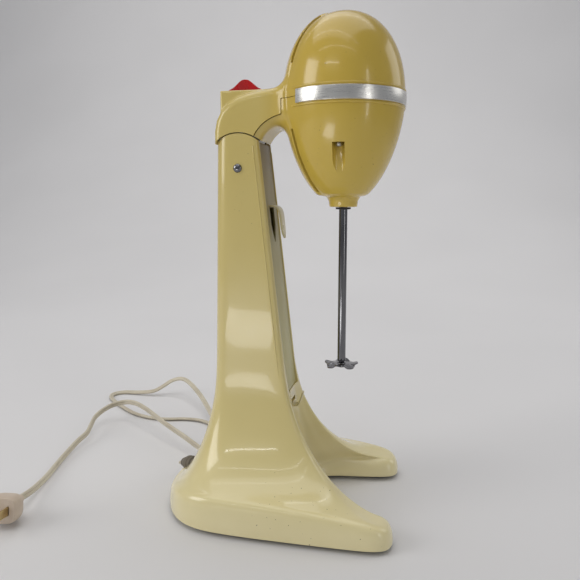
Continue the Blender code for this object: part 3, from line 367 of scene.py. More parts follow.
def spline_rows(rows, cuts, closed):
    """A uniform cubic B-spline through the space of rows, with cuts steps to each span."""
    rows = np.array(rows, float)
    if closed:
        padded = np.concatenate([rows[-1:], rows, rows[:2]])
        spans = len(rows)
    else:
        padded = np.concatenate([[2 * rows[0] - rows[1]], rows, [2 * rows[-1] - rows[-2]]])
        spans = len(rows) - 1
    out = []
    for i in range(spans):
        a, b, c, d = padded[i:i + 4]
        for k in range(cuts):
            t = k / cuts
            out.append(((1 - t) ** 3 * a + (3 * t**3 - 6 * t**2 + 4) * b
                        + (-3 * t**3 + 3 * t**2 + 3 * t + 1) * c + t**3 * d) / 6)
    if not closed:
        out.append((padded[-3] + 4 * padded[-2] + padded[-1]) / 6)
    return np.array(out)


def loft(name, rings, across, along):
    """A closed smooth skin over half sections and their mirror images in y."""
    full = []
    for ring in rings:
        side = [tuple(p) for p in ring]
        full.append(side + [(x, -y, z) for x, y, z in side[1:-1]][::-1])
    grid = spline_rows(full, along, False)
    grid = spline_rows(grid.transpose(1, 0, 2), across, True).transpose(1, 0, 2)
    bm = bmesh.new()
    caps = skin(bm, [[bm.verts.new(p) for p in row] for row in grid])
    bm.normal_update()
    bmesh.ops.triangulate(bm, faces=caps)
    return from_bmesh(name, bm)


panel_tilt = math.atan(FRONT_SLOPE)
PANEL_TOP_Z, SEEN_PANEL_LOW_Z, PANEL_HALF_W = 0.2752, 0.09, 0.0168
PANEL_T, PANEL_SUNK = 0.0012, 0.0004


def on_front(z, out):
    """The (x, z) point that stands out from the column's front at height z."""
    return (front_face(z) + out * math.cos(panel_tilt), z + out * math.sin(panel_tilt))


def sloping(name, z0, z1, out0, out1, half_w, round_by=0.0):
    """A block along the column's front, from out0 to out1 off it."""
    outline = [on_front(z0, out0), on_front(z0, out1), on_front(z1, out1), on_front(z1, out0)]
    return prism(name, outline, -half_w, half_w, round_by)


def column_top(name, half):
    """What lies above the column's rounded top, as a cutter."""
    reach, low_z = 0.06, PIN_Z - 0.004
    outline = ([(PIN_X - reach, PIN_Z + reach), (PIN_X - reach, low_z), (PIN_X - COLUMN_TOP_R, low_z)]
               + arc(PIN_X, PIN_Z, COLUMN_TOP_R, 180.0, 0.0, 73)
               + [(PIN_X + COLUMN_TOP_R, low_z), (PIN_X + reach, low_z), (PIN_X + reach, PIN_Z + reach)])
    return prism(name, outline, -half, half)


stand = loft("stand_casting", stand_rings(), 6, 6)
smooth_stand = stand.copy()
smooth_stand.data = stand.data.copy()
boolean(stand, loft("stand_hollow", hollow_rings(CASTING_WALL), 3, 3))
boolean(stand, column_top("top_cut", 0.05))
boolean(stand, cylinder("pin_hole", 0.0028, 0.03, (PIN_X, 0, PIN_Z), 24, "Y"))
panel_back = -PANEL_T - PANEL_SUNK
boolean(stand, sloping("seat", SEEN_PANEL_LOW_Z - GAP, 0.29, panel_back - GAP, 0.01, PANEL_HALF_W + GAP))
boolean(stand, sloping("opening", SEEN_PANEL_LOW_Z + 0.012, 0.292, -0.012, 0.011, PANEL_HALF_W - 0.0035))
GLAND = Vector((SPINDLE_X - 0.1245, 0.004, 0.0178))
gland_way = Vector((-0.76, 0.6, -0.24)).normalized()
gland_turn = Vector((0, 0, 1)).rotation_difference(gland_way).to_matrix().to_4x4()
gland_turn = Matrix.Translation(GLAND) @ gland_turn
gland_hole = cylinder("gland_hole", 0.006, 0.02, steps=32)
gland_hole.data.transform(gland_turn)
boolean(stand, gland_hole)
boolean(stand, sloping("rest_pocket", 0.079, 0.0822, -0.0028, 0.004, 0.0064))
borrow_normals(stand, smooth_stand)
bpy.data.objects.remove(smooth_stand, do_unlink=True)
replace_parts(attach(stand, "stand"), "stand_shell")


LINE_R, LINE_LOW_Z = 0.0006, 0.096


def corner_line(name, side, back_from_front, in_from_side, top_z):
    """A thin raised line up the column beside its front corner."""
    rings = []
    for z in np.linspace(LINE_LOW_Z, top_z, 40):
        x, y = front_face(z) - back_from_front, side * (column_half_width(z) - in_from_side)
        rings.append([(x + LINE_R * math.cos(a), y + LINE_R * math.sin(a), z) for a in around(12)])
    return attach(skinned(name, rings), "stand")


corner_lines = []
for tag, side in (("r", -1.0), ("l", 1.0)):
    corner_lines.append(corner_line(f"corner_line_side_{tag}", side, 0.0042, 0.0002, 0.272))
    corner_lines.append(corner_line(f"corner_line_front_{tag}", side, 0.0004, 0.0036, 0.27))


# ---- front panel, hook and rest
def tongue(name, steps, widths, t):
    """A bent tongue of sheet: (x, z) steps with a half width at each."""
    steps = spline_rows([(x, 0.0, z) for x, z in steps], 5, False)
    widths = np.interp(np.linspace(0, 1, len(steps)), np.linspace(0, 1, len(widths)), widths)
    rows = []
    for i, p in enumerate(steps):
        run = Vector(steps[min(i + 1, len(steps) - 1)] - steps[max(i - 1, 0)]).normalized()
        side = Vector((-run.z, 0.0, run.x)) * t
        p, w = Vector(p), widths[i]
        left, right = Vector((0, w, 0)), Vector((0, -w, 0))
        rows.append([p + left, p + right, p + side + right, p + side + left])
    return bevel(skinned(name, rows), 0.00032, 3, 50.0)


HOOK_Z, REST_Z = 0.23, 0.078
panel = sloping("panel_sheet", SEEN_PANEL_LOW_Z, PANEL_TOP_Z, panel_back, -PANEL_SUNK, PANEL_HALF_W, 0.0003)
boolean(panel, column_top("panel_top", 0.049))


def window(low, high, half_w, low_half):
    """A hole through the sheet, narrowing to low_half at its foot."""
    mid = 0.5 * (low + high)
    outline = [(high, half_w), (high, -half_w), (mid, -half_w),
               (low, -low_half), (low, low_half), (mid, half_w)]
    return skinned("window", [[(on_front(z, out)[0], y, on_front(z, out)[1]) for z, y in outline]
                              for out in (-0.006, 0.004)])


def bent_from(z, steps):
    """Points of a bent tongue, from (out, up) steps off the middle of the sheet at height z."""
    x0, z0 = on_front(z, -PANEL_SUNK - 0.0008)
    return [(x0 + x, z0 + up) for x, up in steps]


HOOK_HALF_W = 0.0066
hook = tongue("cup_hook",
              bent_from(HOOK_Z, ((0.0, 0.0006), (0.0035, 0.0004), (0.0062, -0.0004), (0.0082, -0.0024),
                                 (0.0092, -0.0056), (0.0098, -0.011), (0.0104, -0.0165),
                                 (0.0111, -0.021), (0.0118, -0.024))),
              (*[HOOK_HALF_W] * 6, 0.0064, 0.0048, 0.0012), -PANEL_T)
rest = tongue("cup_rest",
              bent_from(REST_Z, ((0.0, -0.0012), (0.0026, -0.0021), (0.005, -0.0018), (0.0066, 0.0004),
                                 (0.0078, 0.0036), (0.0087, 0.0066), (0.0092, 0.0088))),
              (*[0.0042] * 4, 0.0041, 0.0038, 0.0028), PANEL_T)
boolean(panel, window(HOOK_Z - 0.027, HOOK_Z - 0.0014, HOOK_HALF_W, 0.001))
sharpen(panel)
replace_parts(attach(panel, "stand"), "front_panel")
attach(sharpen(hook, 40.0), "stand")
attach(sharpen(rest, 40.0), "stand")

# ---- head: one smooth skin, then parted in two
def off_spindle(points):
    return [(SPINDLE_X + x, z) for x, z in points]


NECK_OUTLINE = (
    off_spindle([(-0.092, 0.238), (-0.092, 0.26), (-0.0918, 0.283), (-0.0903, 0.2905),
                 (-0.0868, 0.2972), (-0.0815, 0.3025), (-0.075, 0.3063), (-0.068, 0.3085),
                 (-0.06, 0.31), (-0.05, 0.3114), (-0.03, 0.313), (-0.02, 0.3132),
                 (-0.02, ELBOW_Z + UNDER_R)])
    + arc(ELBOW_X, ELBOW_Z, UNDER_R, 90.0, 180.0, 14)
    + [(ELBOW_X - UNDER_R, 0.25), (ELBOW_X - UNDER_R, 0.238)]
)


def polygon_distance(px, pz, outline):
    """Signed distance from points to a closed outline, negative inside."""
    pts = np.array(outline)
    best = np.full(px.shape, 1e9)
    inside = np.zeros(px.shape, bool)
    for a, b in zip(pts, np.roll(pts, -1, 0)):
        e = b - a
        t = np.clip(((px - a[0]) * e[0] + (pz - a[1]) * e[1]) / (e @ e + 1e-18), 0, 1)
        best = np.minimum(best, (px - a[0] - t * e[0]) ** 2 + (pz - a[1] - t * e[1]) ** 2)
        crosses = (a[1] > pz) != (b[1] > pz)
        with np.errstate(divide="ignore", invalid="ignore"):
            inside ^= crosses & (px < (b[0] - a[0]) * (pz - a[1]) / (b[1] - a[1]) + a[0])
    return np.where(inside, -1, 1) * np.sqrt(best)


def blend_min(a, b, k):
    """The union of two signed distances, with a fillet about k wide."""
    h = np.maximum(k - np.abs(a - b), 0) / k
    return np.minimum(a, b) - h * h * k * 0.25


def rounded_pair(a, b, r):
    """The common part of two signed distances, its edge rounded."""
    a, b = a + r, b + r
    return np.minimum(np.maximum(a, b), 0) + np.hypot(np.maximum(a, 0), np.maximum(b, 0)) - r


SLIT_DEG, SPINE_PROUD = 33.0, 0.0013    # the slits' angle off the rear, and the rise of the strip between
DOME_POWER, BOWL_POWER, BOWL_DEPTH = 2.2, 1.66, 0.0738
BLOCK_BACK, BLOCK_HALF_L, BLOCK_HALF_W = 0.0675, 0.0213, 0.0138     # the switch's platform
BLOCK_MID_Z, BLOCK_HALF_H = 0.3006, 0.0114


def head_field(p, neck_w=NECK_HALF_W, neck_round=0.0055):
    """Signed distance to the head's outer surface: egg, neck and platform, blended where they meet."""
    x, y, z = p[:, 0] - SPINDLE_X, p[:, 1], p[:, 2]
    r, dz = np.hypot(x, y), z - HEAD_MID_Z
    u, power, b = r / HEAD_R, DOME_POWER, HEAD_TOP_Z - HEAD_MID_Z
    v = np.maximum(dz, 1e-6) / b
    g = (u**power + v**power) ** (1 / power) + 1e-9
    slope = g ** (1 - power) * np.hypot(u ** (power - 1) / HEAD_R, v ** (power - 1) / b)
    upper = (g - 1) / (slope + 1e-6)
    w, q, c = np.maximum(-dz, 1e-6) / BOWL_DEPTH, BOWL_POWER, BOWL_DEPTH
    g = np.sqrt(u**2 + w**q) + 1e-9
    lower = (g - 1) / (np.hypot(u / HEAD_R, q * w ** (q - 1) / (2 * c)) / g + 1e-6)
    egg = np.where(dz > 0, upper, lower)
    off_rear = np.degrees(np.abs(np.arctan2(y, -x)))
    spine = np.clip((SLIT_DEG - off_rear) / 2.0, 0, 1) * np.clip((r - 0.008) / 0.01, 0, 1)
    egg = rounded_pair(egg - SPINE_PROUD * spine, EGG_BOTTOM_Z - z, 0.0012)
    side = np.abs(y) - neck_w
    neck = rounded_pair(polygon_distance(p[:, 0], z, NECK_OUTLINE), side, neck_round)
    head = blend_min(egg, neck, 0.011)
    block = np.maximum(np.abs(x + BLOCK_BACK) - BLOCK_HALF_L, np.abs(z - BLOCK_MID_Z) - BLOCK_HALF_H)
    block = rounded_pair(block, np.abs(y) - BLOCK_HALF_W, 0.0014)
    return blend_min(head, block, 0.003)


def low_head_field(p):
    """The same with a slightly narrower, rounder neck, for the half below."""
    return head_field(p, NECK_HALF_W - 0.0007, 0.008)


# A rough shape, whose vertices are then slid onto the field.
head = turned("head_shape", [(0.0, HEAD_TOP_Z), (0.9 * HEAD_R, HEAD_TOP_Z - 0.01), (1.02 * HEAD_R, 0.31),
                             (HEAD_R, 0.28), (0.03, 0.25), (0.015, EGG_BOTTOM_Z), (0.0, EGG_BOTTOM_Z)],
              (SPINDLE_X, 0, 0))
boolean(head, prism("neck_shape", NECK_OUTLINE, -NECK_HALF_W, NECK_HALF_W), "UNION")
boolean(head, box("block_shape", (SPINDLE_X - 0.0888, -BLOCK_HALF_W, 0.2892),
                  (SPINDLE_X - 0.0462, BLOCK_HALF_W, 0.312)), "UNION")
remesh = head.modifiers.new("remesh", "REMESH")
remesh.mode, remesh.voxel_size = "VOXEL", 0.001
settle(head)


def onto_field(made, field, rounds=6):
    """Slides each vertex of made onto the zero surface of field, evening the spacing as it goes."""
    mesh = made.data
    p = np.array([v.co[:] for v in mesh.vertices])
    edges = np.array([e.vertices[:] for e in mesh.edges])
    count = np.maximum(np.bincount(edges.ravel(), minlength=len(p)), 1)[:, None]
    step = 0.00005
    for k in range(rounds):
        slope = np.stack([field(p + step * axis) - field(p - step * axis) for axis in np.eye(3)], 1)
        slope /= 2 * step
        size = np.maximum((slope**2).sum(1), 0.05)
        p = p - np.clip(field(p) / size, -0.003, 0.003)[:, None] * slope
        if k < rounds - 2:
            near = np.zeros_like(p)
            np.add.at(near, edges[:, 0], p[edges[:, 1]])
            np.add.at(near, edges[:, 1], p[edges[:, 0]])
            p = p + 0.5 * (near / count - p)
    mesh.vertices.foreach_set("co", p.ravel())
    mesh.update()


low_head = head.copy()
low_head.data = head.data.copy()
scene.collection.objects.link(low_head)
onto_field(head, head_field)
onto_field(low_head, low_head_field)


SLIT_W = 0.0019
# Each slit's lowest and highest z, and the (radius, z) core inside the wall that it doesn't reach.
SLITS = (
    (0.327, 0.37, [(0.0, 0.372), (0.019, 0.372), (0.019, 0.3545), (0.0318, 0.341),
                      (0.037, 0.328), (0.0385, 0.32), (0.0, 0.32)]),
    (0.24, 0.283, [(0.0, 0.29), (0.0365, 0.284), (0.03, 0.264), (0.019, 0.244),
                      (0.016, 0.236), (0.0, 0.236)]),
)
RECESS_X, RECESS_Y, RECESS_R, RECESS_TOP_Z = SPINDLE_X + 0.0004, 0.033, 0.0042, 0.2722


def slit_cutter(around_deg, z0, z1, core):
    """A thin upright blade through the egg's wall, on a line around_deg from +X, less its core."""
    made = box("slit", (0.0, -0.5 * SLIT_W, z0), (0.09, 0.5 * SLIT_W, z1))
    turn = Matrix.Rotation(math.radians(around_deg), 4, "Z")
    made.data.transform(Matrix.Translation((SPINDLE_X, 0, 0)) @ turn)
    return boolean(made, turned("slit_core", core, (SPINDLE_X, 0, 0), 48), solver="EXACT")


def recess_cutter(side):
    """A round-backed upright channel in the bowl's side, with its screw's seat at the top."""
    y = side * RECESS_Y
    line = [(RECESS_X + RECESS_R * math.cos(a), y - side * RECESS_R * math.sin(a))
            for a in np.radians(np.linspace(0, 180, 33))]
    line += [(RECESS_X - RECESS_R, side * 0.048), (RECESS_X + RECESS_R, side * 0.048)]
    return skinned("recess", [[(*at, z) for at in line] for z in (0.24, RECESS_TOP_Z)])


def cut_head(made):
    """Takes the slits, the recesses, the neck's hollow and the arc at its foot out of a head shape."""
    for deg in (180.0 - SLIT_DEG, 180.0 + SLIT_DEG):
        for z0, z1, core in SLITS:
            boolean(made, slit_cutter(deg, z0, z1, core))
    for side in (-1.0, 1.0):
        boolean(made, recess_cutter(side))
    boolean(made, prism("neck_hollow", NECK_INSIDE, -NECK_HALF_W + 0.003, NECK_HALF_W - 0.003))
    boolean(made, cylinder("foot_arc", NECK_FOOT_R, 0.05, (PIN_X, 0, PIN_Z), 144, "Y"))
    x0, x1 = PIN_X - 0.08, ELBOW_X - UNDER_R + 0.004
    z0, z1 = PIN_Z - 0.06, PIN_Z + 0.0006
    boolean(made, prism("under_foot", [(x0, z0), (x0, z1), (x1, z1), (x1, z0)], -0.05, 0.05))


# The joint between the two halves, and the hollow of the neck, seen from the side.
skirt_start = math.degrees(math.acos((SPINDLE_X - 0.0418 - ELBOW_X) / SKIRT_R))
SKIRT_LINE = (
    [(SPINDLE_X + 0.07, HEAD_MID_Z), (SPINDLE_X - 0.0418, HEAD_MID_Z)]
    + arc(ELBOW_X, ELBOW_Z, SKIRT_R, skirt_start, 158.0, 25)
    + [(SPINDLE_X - 0.0646, 0.27), (SPINDLE_X - 0.0646, 0.2), (SPINDLE_X + 0.07, 0.2)]
)
NECK_INSIDE = (
    off_spindle([(-0.0896, 0.23), (-0.0894, 0.2826), (-0.088, 0.2893), (-0.0848, 0.2954),
                 (-0.08, 0.3002), (-0.074, 0.3037), (-0.0676, 0.3057), (-0.06, 0.3072),
                 (-0.05, 0.308), (-0.033, 0.309), (-0.033, ELBOW_Z + UNDER_R + 0.003)])
    + arc(ELBOW_X, ELBOW_Z, UNDER_R + 0.003, 90.0, 180.0, 16)
    + [(ELBOW_X - UNDER_R - 0.003, 0.23)]
)
low_line = [(x + GAP, z - 1.2 * GAP) for x, z in SKIRT_LINE]
for name, made, line, how in (("head_dome", head, SKIRT_LINE, "DIFFERENCE"),
                              ("head_bowl", low_head, low_line, "INTERSECT")):
    made.name = name
    whole = made.copy()
    whole.data = made.data.copy()
    cut_head(made)
    boolean(made, prism("parting", line, -0.06, 0.06), how)
    borrow_normals(made, whole, 0.0002, 0.8)
    bpy.data.objects.remove(whole, do_unlink=True)
collar = turned("head_collar", [(0.0, 0.242), (0.0175, 0.242), (0.0176, EGG_BOTTOM_Z + 0.0012)]
                + rounded([(0.0174, EGG_BOTTOM_Z + 0.0008), (0.016, EGG_BOTTOM_Z - 0.0002),
                           (0.0124, EGG_BOTTOM_Z - 0.0008), (0.0114, EGG_BOTTOM_Z - 0.0024),
                           (0.0106, EGG_BOTTOM_Z - 0.0042), (0.0102, COLLAR_BOTTOM_Z),
                           (0.006, COLLAR_BOTTOM_Z)], 0.0009)
                + [(0.005, COLLAR_BOTTOM_Z + 0.001), (0.0, COLLAR_BOTTOM_Z + 0.001)], (SPINDLE_X, 0, 0))
sharpen(collar, 50.0)
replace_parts(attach(head, "head"), "upper_housing")
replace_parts(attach(low_head, "head"), "lower_housing")
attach(collar, "head")


def ring_piece(name, section, half_angle):
    """Part of a ring round the egg, on the +X side, from a closed (radius, z) section."""
    angles = np.radians(np.linspace(-half_angle, half_angle, 180))
    return skinned(name, [[(SPINDLE_X + r * math.cos(a), r * math.sin(a), z) for r, z in section]
                          for a in angles])


BAND_LOW_Z, BAND_HIGH_Z, BAND_R, BAND_BACK_R = 0.2987, 0.3079, HEAD_R + 0.0008, HEAD_R - 0.0008
band_mid_z = 0.5 * (BAND_LOW_Z + BAND_HIGH_Z)
band_section = rounded([(BAND_BACK_R, band_mid_z), (BAND_BACK_R, BAND_LOW_Z), (BAND_R, BAND_LOW_Z),
                        (BAND_R, BAND_HIGH_Z), (BAND_BACK_R, BAND_HIGH_Z), (BAND_BACK_R, band_mid_z + 0.0001)],
                       0.0003)
band = sharpen(ring_piece("band_strip", band_section, 133.0), 50.0)
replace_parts(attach(band, "head"), "trim_band")
beads, BEAD_R = [], 0.0009
for tag, mid, r_at in (("upper", 0.3093, HEAD_R - 0.0004), ("lower", 0.2973, HEAD_R - 0.0005)):
    section = [(r_at + BEAD_R * math.cos(a), mid + BEAD_R * math.sin(a)) for a in around(12)]
    bead = ring_piece(f"bead_{tag}", section, 158.0)
    beads.append(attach(bead, "head"))

screws, SCREW_Y = [], 0.0317
for tag, side in (("r", -1.0), ("l", 1.0)):
    y = side * SCREW_Y
    screw = turned(f"recess_screw_{tag}", [(0.0, 0.2865), (0.0012, 0.2865), (0.0012, RECESS_TOP_Z - GAP)]
                   + rounded([(0.0024, RECESS_TOP_Z - GAP), (0.0026, RECESS_TOP_Z - 0.0012),
                              (0.002, RECESS_TOP_Z - 0.0025)], 0.0004)
                   + [(0.0, RECESS_TOP_Z - 0.0027)], (RECESS_X, y, 0), 40)
    boolean(screw, box("slot_cut", (SPINDLE_X - 0.004, y - 0.0003, 0.268),
                       (SPINDLE_X + 0.005, y + 0.0003, 0.2704)))
    screws.append(sharpen(screw, 40.0))
    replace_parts(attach(screw, "head"), f"housing_screw_{tag}")

# ---- switch
SWITCH_X, SWITCH_Z, BELL_HALF_L = SPINDLE_X - 0.072, 0.3123, 0.0142
bell = [(-BELL_HALF_L, 0.0), (-0.0125, 0.0011), (-0.0095, 0.0023), (-0.007, 0.0041),
        (-0.0045, 0.0066), (-0.0025, 0.008)]
bell += [(0.0, 0.0084)] + [(-x, z) for x, z in reversed(bell)]
bell = [(x, z) for x, _, z in spline_rows([(x, 0.0, z) for x, z in bell], 4, False)]
bell[0], bell[-1] = (-BELL_HALF_L, 0.0), (BELL_HALF_L, 0.0)
button = prism("switch_bell", [(SWITCH_X + x, SWITCH_Z + z) for x, z in bell],
               -0.0062, 0.0062, 0.0009, 4, 60.0)
sharpen(button, 50.0)
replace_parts(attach(button, "switch"), "switch_button")

# ---- hinge pin
PIN_R, PIN_HEAD_R, PIN_HEAD_H = 0.0026, 0.0032, 0.0018
pin_side, pin_end = COLUMN_HALF_W + 0.0002, COLUMN_HALF_W + 0.002
pin = turned("pin_domed", [(0.0, pin_end)]
             + [(PIN_HEAD_R * math.sin(a), pin_side + PIN_HEAD_H * math.cos(a))
                for a in np.linspace(0.2, math.pi / 2, 8)]
             + [(PIN_R, pin_side), (PIN_R, -pin_side)]
             + [(PIN_HEAD_R * math.sin(a), -pin_side - PIN_HEAD_H * math.cos(a))
                for a in np.linspace(math.pi / 2, 0.2, 8)]
             + [(0.0, -pin_end)], (PIN_X, 0, PIN_Z), 48, "Y")
sharpen(pin, 50.0)
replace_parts(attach(pin, "stand"), "hinge_pin")

# ---- rod and agitator
ROD_R, DISC_Z, AGITATOR_R, LOBES, DISC_STEPS = 0.0031, 0.111, 0.0126, 8, 192
seal_top = COLLAR_BOTTOM_Z - GAP
seal = turned("seal_washer", [(0.0034, seal_top)]
              + rounded([(0.005, seal_top), (0.0056, seal_top), (0.0055, COLLAR_BOTTOM_Z - 0.0016),
                         (0.004, COLLAR_BOTTOM_Z - 0.0018)], 0.0004)
              + [(0.0034, COLLAR_BOTTOM_Z - 0.0016)], (SPINDLE_X, 0, 0), 64)
sharpen(seal, 50.0)
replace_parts(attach(seal, "head"), "rod_seal")
rod = turned("polished_rod", [(0.0, 0.2387), (ROD_R, 0.2387), (ROD_R, 0.205), (ROD_R, 0.16),
                              (ROD_R, DISC_Z + 0.0048)]
             + rounded([(ROD_R, DISC_Z + 0.004), (0.003, DISC_Z + 0.0026), (0.0024, DISC_Z + 0.0018)], 0.0006)
             + [(0.0, DISC_Z + 0.0018)], (SPINDLE_X, 0, 0), 64)
sharpen(rod, 50.0)
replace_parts(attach(rod, "spindle"), "spindle_rod")
bm = bmesh.new()
rows = []
for share in np.linspace(1.0, 0.12, 14):
    row = []
    for k in range(DISC_STEPS):
        a = 2 * math.pi * k / DISC_STEPS
        r = AGITATOR_R * (1.0 - 0.1 * (0.5 - 0.5 * math.cos(LOBES * a))) * share
        bend = max(share - 0.45, 0.0) / 0.55
        wave = math.tanh(2.2 * math.cos(LOBES * a / 2)) / math.tanh(2.2)
        row.append(bm.verts.new((r * math.cos(a), r * math.sin(a), 0.0012 * bend * wave)))
    rows.append(row)
skin(bm, rows, capped=False)
agitator = from_bmesh("ruffled_disc", bm)
agitator.data.transform(Matrix.Translation((SPINDLE_X, 0.0, DISC_Z)))
thick = agitator.modifiers.new("thickness", "SOLIDIFY")
thick.thickness, thick.offset = 0.001, 0.0
settle(agitator)
sharpen(agitator, 45.0)
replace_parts(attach(agitator, "spindle"), "agitator")
hub = turned("disc_hub", [(r, DISC_Z + up) for r, up in (
    (0.0, 0.0017), (0.0026, 0.0014), (0.004, 0.0002), (0.004, -0.0006), (0.0036, -0.0014),
    (0.0027, -0.0024), (0.0012, -0.0029), (0.0, -0.003))], (SPINDLE_X, 0, 0), 64)
sharpen(hub, 40.0)
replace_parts(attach(hub, "spindle"), "agitator_rivet")

# ---- rubber pads
pads, PAD_R = [], 0.008
for tag, x, y in (("fr", SPINDLE_X + 0.029, -0.0565), ("fl", SPINDLE_X + 0.029, 0.0565),
                  ("rr", SPINDLE_X - 0.104, -0.044), ("rl", SPINDLE_X - 0.104, 0.044)):
    low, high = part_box(f"foot_pad_{tag}")
    pad = turned(f"pad_{tag}", [(0.0, high[2])]
                 + rounded([(PAD_R, high[2]), (PAD_R, low[2] + 0.0002), (PAD_R - 0.0008, 0.0)], 0.0007)
                 + [(0.006, 0.0), (0.0052, 0.0006), (0.0, 0.0006)], (x, y, 0), 64)
    pads.append(sharpen(pad, 45.0))
    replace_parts(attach(pad, "stand"), f"foot_pad_{tag}")

# ---- cord, gland and plug
gland = turned("cord_gland", [(0.0, 0.012)] + rounded(
    [(0.0034, 0.012), (0.0038, 0.0112), (0.0044, 0.0086), (0.005, 0.006), (0.0062, 0.003),
     (0.0062, -0.001), (0.0056, -0.0012), (0.0056, -0.005), (0.0046, -0.0052), (0.004, -0.011)],
    0.0005) + [(0.0, -0.011)], steps=64)
gland.data.transform(gland_turn)
sharpen(gland, 45.0)
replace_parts(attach(gland, "stand"), "strain_relief")


def smooth_route(points, spacing):
    """A Catmull-Rom curve through points, as even steps of about spacing."""
    p = np.array(points, float)
    p = np.concatenate([[2 * p[0] - p[1]], p, [2 * p[-1] - p[-2]]])
    fine = []
    for a, b, c, d in zip(p, p[1:], p[2:], p[3:]):
        for t in np.linspace(0.0, 1.0, 24, endpoint=False):
            fine.append(0.5 * (2 * b + (c - a) * t + (2 * a - 5 * b + 4 * c - d) * t * t
                               + (3 * b - a - 3 * c + d) * t**3))
    fine = np.array(fine + [p[-2]])
    run = np.concatenate([[0.0], np.cumsum(np.linalg.norm(np.diff(fine, axis=0), axis=1))])
    want = np.linspace(0.0, run[-1], max(int(run[-1] / spacing), 2) + 1)
    return np.stack([np.interp(want, run, fine[:, k]) for k in range(3)], 1)


CORD_W, CORD_T = 0.0052, 0.0028
cord_start = GLAND + gland_way * 0.0126
CORD_ROUTE = [
    tuple(GLAND + gland_way * 0.01), tuple(cord_start), tuple(cord_start + 0.004 * gland_way),
    (-0.092, 0.0185, 0.0113), (-0.0895, 0.0262, 0.008), (-0.0858, 0.035, 0.0052), (-0.0836, 0.046, 0.0034),
    (-0.0826, 0.058, 0.0029), (-0.0826, 0.071, 0.0029), (-0.0852, 0.087, 0.0036), (-0.091, 0.106, 0.0062),
    (-0.1, 0.126, 0.009), (-0.105, 0.135, 0.0096), (-0.134, 0.181, 0.014), (-0.158, 0.208, 0.0205),
    (-0.173, 0.219, 0.022), (-0.186, 0.22, 0.0185), (-0.196, 0.2165, 0.012), (-0.208, 0.2135, 0.006),
    (-0.227, 0.213, 0.0036), (-0.245, 0.2125, 0.0028), (-0.2545, 0.202, 0.0027), (-0.246, 0.185, 0.0027),
    (-0.213, 0.156, 0.0027), (-0.194, 0.144, 0.0027), (-0.173, 0.137, 0.0027), (-0.156, 0.1375, 0.0027),
    (-0.14, 0.1415, 0.0027), (-0.123, 0.141, 0.0027), (-0.108, 0.134, 0.0027), (-0.092, 0.125, 0.003),
    (-0.072, 0.116, 0.004), (-0.053, 0.107, 0.006), (-0.042, 0.0945, 0.008), (-0.046, 0.082, 0.0095),
    (-0.057, 0.074, 0.0102), (-0.068, 0.064, 0.0105), (-0.0766, 0.0535, 0.0102), (-0.0856, 0.0512, 0.0096),
    (-0.096, 0.0585, 0.0104), (-0.111, 0.0702, 0.0122), (-0.14, 0.092, 0.0152), (-0.171, 0.1175, 0.0185),
    (-0.191, 0.131, 0.0195), (-0.206, 0.135, 0.018), (-0.218, 0.126, 0.0155), (-0.222, 0.106, 0.0122),
    (-0.2165, 0.085, 0.0102), (-0.2115, 0.068, 0.0086), (-0.212, 0.05, 0.006), (-0.207, 0.016, 0.004),
    (-0.2, -0.014, 0.004), (-0.1955, -0.035, 0.0052), (-0.192, -0.051, 0.0075), (-0.19, -0.066, 0.01),
]
route = smooth_route(CORD_ROUTE, 0.002)
plug_way = Vector(route[-1] - route[-4]).normalized()
IN_GLAND = 8            # the first points of the route, which keep their height
ROUTE_HALF_T = 0.0026   # the half height that the route was laid for


def twist_at(share):
    """How far the flat cord is turned up on its edge, along its length."""
    return 0.45 + 0.9 * min(max((share - 0.5) / 0.12, 0.0), 1.0) + 0.2 * math.sin(11.0 * share)


def lies_on_floor(z, share):
    """The line sinks to the cord's own half height where it lies on the floor."""
    turn = twist_at(share)
    half_high = 0.5 * (CORD_T * abs(math.cos(turn)) + CORD_W * abs(math.sin(turn))) - 0.0002
    return max(z - (ROUTE_HALF_T - min(half_high, ROUTE_HALF_T)), half_high + 0.0001)


route = np.array([(x, y, lies_on_floor(z, i / len(route)) if i > IN_GLAND else z)
                  for i, (x, y, z) in enumerate(route)])
section = []
lobe, off = 0.5 * CORD_T, 0.5 * (CORD_W - CORD_T)
for a in np.radians(np.linspace(-148, 148, 13)):
    section.append((off + lobe * math.cos(a), lobe * math.sin(a)))
for a in np.radians(np.linspace(32, 328, 13)):
    section.append((-off + lobe * math.cos(a), lobe * math.sin(a)))
bm = bmesh.new()
rings = []
for i, p in enumerate(route):
    run = Vector(route[min(i + 1, len(route) - 1)] - route[max(i - 1, 0)]).normalized()
    across = run.cross(Vector((0, 0, 1))).normalized()
    up = across.cross(run).normalized()
    turn = twist_at(i / len(route))
    wide = across * math.cos(turn) + up * math.sin(turn)
    tall = up * math.cos(turn) - across * math.sin(turn)
    rings.append([bm.verts.new(Vector(p) + wide * a + tall * b) for a, b in section])
skin(bm, rings)
bm.faces.ensure_lookup_table()
GROOVE_HALF_W = 0.0009
# Painted shade: the faces along the groove between the cord's two lobes get the darker second material,
# standing in for the shade in the groove.
shaded_waist = [k for k in range(len(section))
         if math.hypot(section[k][0], section[(k + 1) % len(section)][0]) < GROOVE_HALF_W]
for face in bm.faces[:-2]:
    if face.index % len(section) in shaded_waist:
        face.material_index = 1
cord = sharpen(from_bmesh("cord_flat", bm), 70.0)
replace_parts(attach(cord, "stand"), "cord_tube")

PLUG_LENGTH = 0.028
PRONG_OUT, PRONG_HALF_T, PRONG_HALF_W, PRONG_SEAT = 0.00635, 0.00075, 0.0031, 0.0002
PLUG_BACK = Vector(route[-1]) - 0.001 * plug_way
plug_x = plug_way.cross(Vector((0, 0, 1))).normalized()
plug_up = plug_x.cross(plug_way).normalized()
plug_frame = Matrix.Translation(PLUG_BACK) @ Matrix((plug_x, plug_up, plug_way)).transposed().to_4x4()


